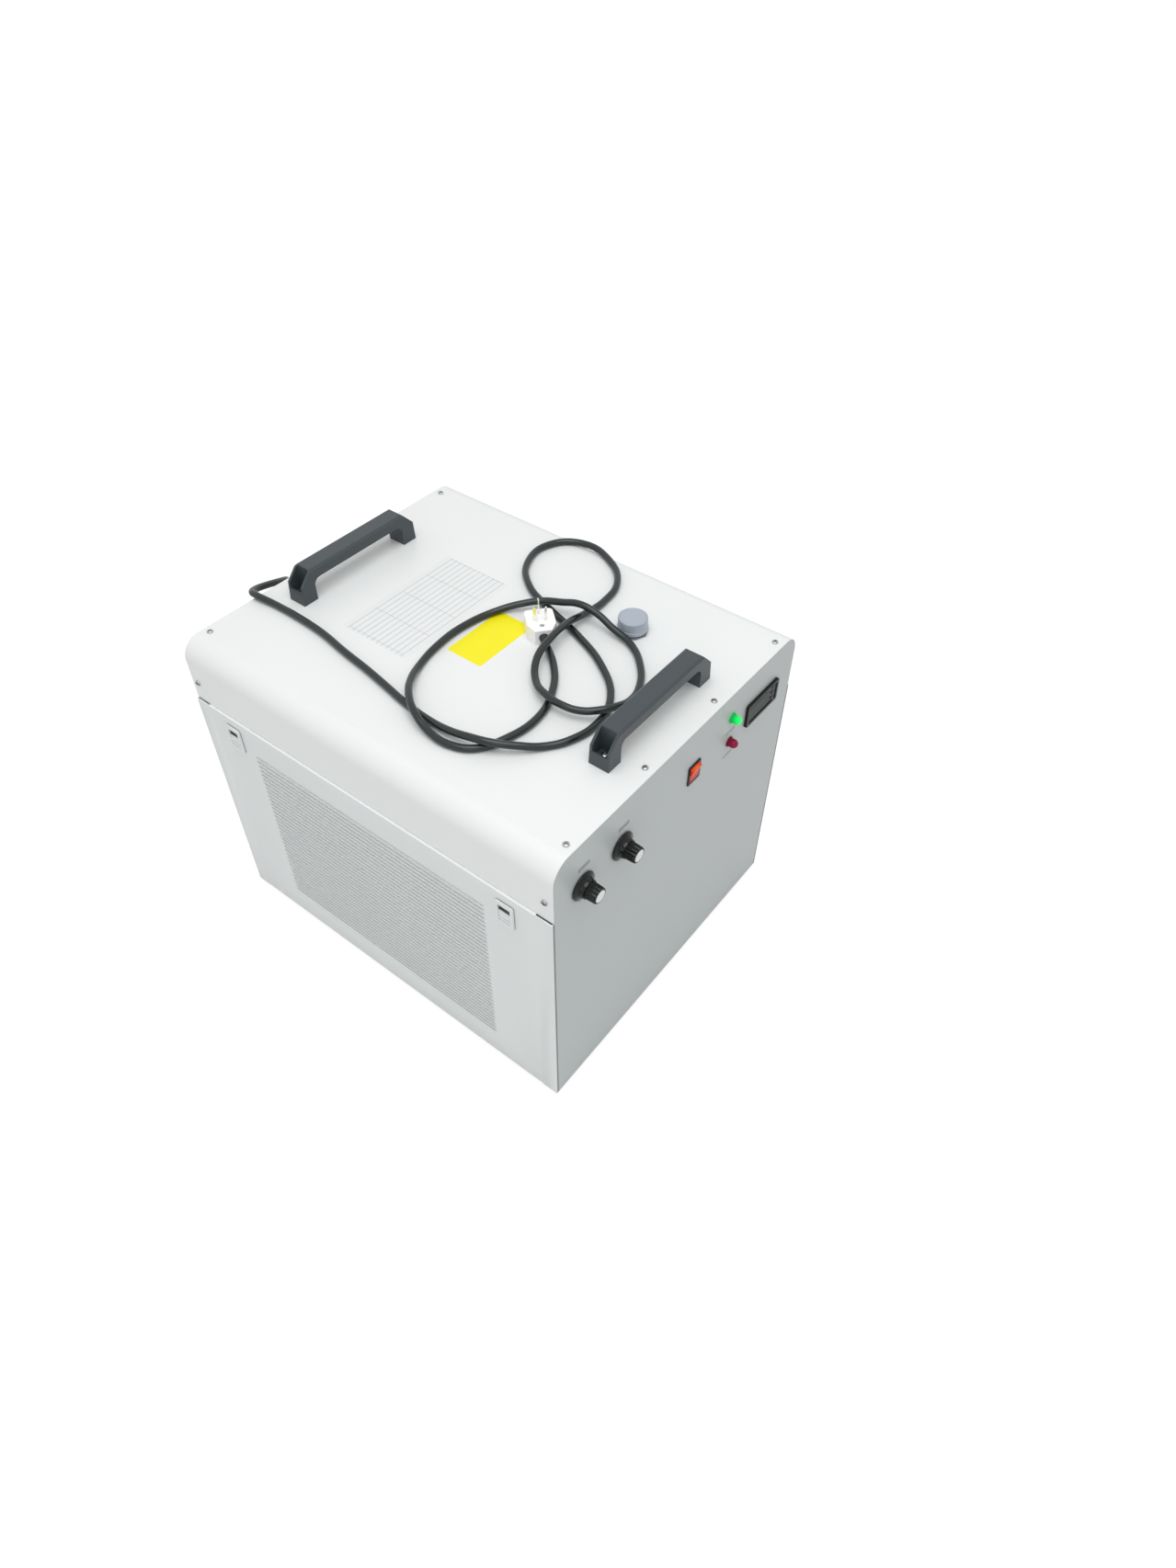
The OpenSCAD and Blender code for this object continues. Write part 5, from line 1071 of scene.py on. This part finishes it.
# ---- carried-over pieces: softened copies of the frame's solids
carried = (
    ("backPanel", "back_panel", backPaint, "back_paint", 0.3),
    ("basePan", "base_pan", zincSheet, "zinc_sheet", 0.3),
    ("rubberFeet", "rubber_feet", rubberBlack, "rubber_black", 0.8),
    ("waterInlet", "water_inlet", fittingBrass, "fitting_brass", 0.3),
    ("waterOutlet", "water_outlet", fittingBrass, "fitting_brass", 0.3),
    ("drainValve", "drain_valve", fittingBrass, "fitting_brass", 0.4),
    ("drainHandle", "drain_handle", valveRed, "fitting_brass", 0.8),
    ("fanFrame", "fan_frame", fanBlack, "fan_black", 0.6),
    ("fanRotor", "fan_rotor", fanBlack, "fan_black", 0.5),
    ("condenserBlock", "condenser", finAluminium, "fin_aluminium", 0.2),
    ("compressorShell", "compressor", compressorBlack, "compressor_black", 1.0),
    ("compressorMounts", "compressor_mounts", rubberBlack, "rubber_black", 0.8),
    ("waterPump", "pump", pumpBlue, "pump_blue", 0.8),
    ("waterTank", "tank", tankPlastic, "tank_plastic", 1.0),
    ("tankLid", "tank_lid", tankPlastic, "tank_plastic", 0.6),
    ("controlBox", "control_box", boxPaint, "back_paint", 0.4),
    ("leftRegulator", "left_control", controlGrey, "control_grey", 0.4),
    ("rightRegulator", "right_control", controlGrey, "control_grey", 0.4),
    ("leftShaft", "left_shaft", shaftSteel, "shaft_steel", 0.3),
    ("rightShaft", "right_shaft", shaftSteel, "shaft_steel", 0.3),
    ("coolingCoil", "cooling_coil", copper, "copper", 0),
    ("waterHoses", "water_hoses", tankPlastic, "hose_clear", 0),
    ("copperPipes", "copper_pipes", copper, "copper", 0),
    ("fanGuard", "fan_guard", guardChrome, "guard_chrome", 0.5),
)
riders = {"drain_handle": "drain_lever", "fan_rotor": "fan",
          "left_shaft": "left_dial", "right_shaft": "right_dial"}
for name, node, material, slot, width in carried:
    piece = fromFrame(name, node, width, 2, 35 if width else 50)
    finishPiece(piece, riders.get(node, "cabinet"), material, node)
print("inner pieces made")


# ---- floor, light and world
floorFacts = {"size": 60, "level": -0.0005, "grain": 40, "glow": 1.14, "glowShare": 0.75}


def setStage():
    f = floorFacts
    clear()
    bpy.ops.mesh.primitive_plane_add(size=f["size"], location=(0, 0, f["level"]))
    floor = named(bpy.context.object, "floor")
    freeze()
    white = Finish("floorWhite", Roughness=0.9)
    grain = white.noise(f["grain"], 3)
    white.feed("Base Color", white.blend(grain, (0.93, 0.93, 0.93), (0.95, 0.95, 0.95)))
    seen = white.node("ShaderNodeLightPath", output="Is Camera Ray") * f["glowShare"]
    glow = white.node("ShaderNodeEmission", inputs={"Strength": f["glow"]})
    plain = Value(white, white.shader.outputs[0])
    white.surface("Material Output", white.node("ShaderNodeMixShader", inputs={0: seen, 1: plain, 2: glow}))
    floor.data.materials.append(white.material)


def addLamp(name, place, target, size, power):
    lamp = bpy.data.lights.new(name, "AREA")
    lamp.shape = "DISK"
    lamp.size = size
    lamp.energy = power
    holder = link(bpy.data.objects.new(name, lamp))
    aim = (Vector(target) - Vector(place)).to_track_quat("-Z", "Y")
    holder.matrix_world = Matrix.Translation(place) @ aim.to_matrix().to_4x4()


def setWorld(level):  # seen and reflected as white, but dimmer as light
    world = bpy.data.worlds.new("studio")
    bpy.context.scene.world = world
    sky = Tree(world)
    room = sky.tree.nodes["Background"]
    room.inputs["Color"].default_value = (1, 1, 1, 1)
    room.inputs["Strength"].default_value = level
    white = sky.node("ShaderNodeBackground", inputs={"Color": (1, 1, 1, 1), "Strength": 1})
    rays = sky.tree.nodes.new("ShaderNodeLightPath").outputs
    seen = Value(sky, rays["Is Camera Ray"])
    for ray in ("Is Glossy Ray", "Is Transmission Ray"):
        seen = seen.math("MAXIMUM", seen, Value(sky, rays[ray]))
    plain = Value(sky, room.outputs[0])
    sky.surface("World Output", sky.node("ShaderNodeMixShader", inputs={0: seen, 1: plain, 2: white}))


setStage()
addLamp("overhead", (-0.4, -0.4, 2.6), (0, 0, 0.4), 2.0, 25)
addLamp("side", (-2.4, -1.5, 1.3), (0, -0.1, 0.3), 1.4, 3)
setWorld(0.6)
bpy.context.scene.view_settings.view_transform = "Standard"
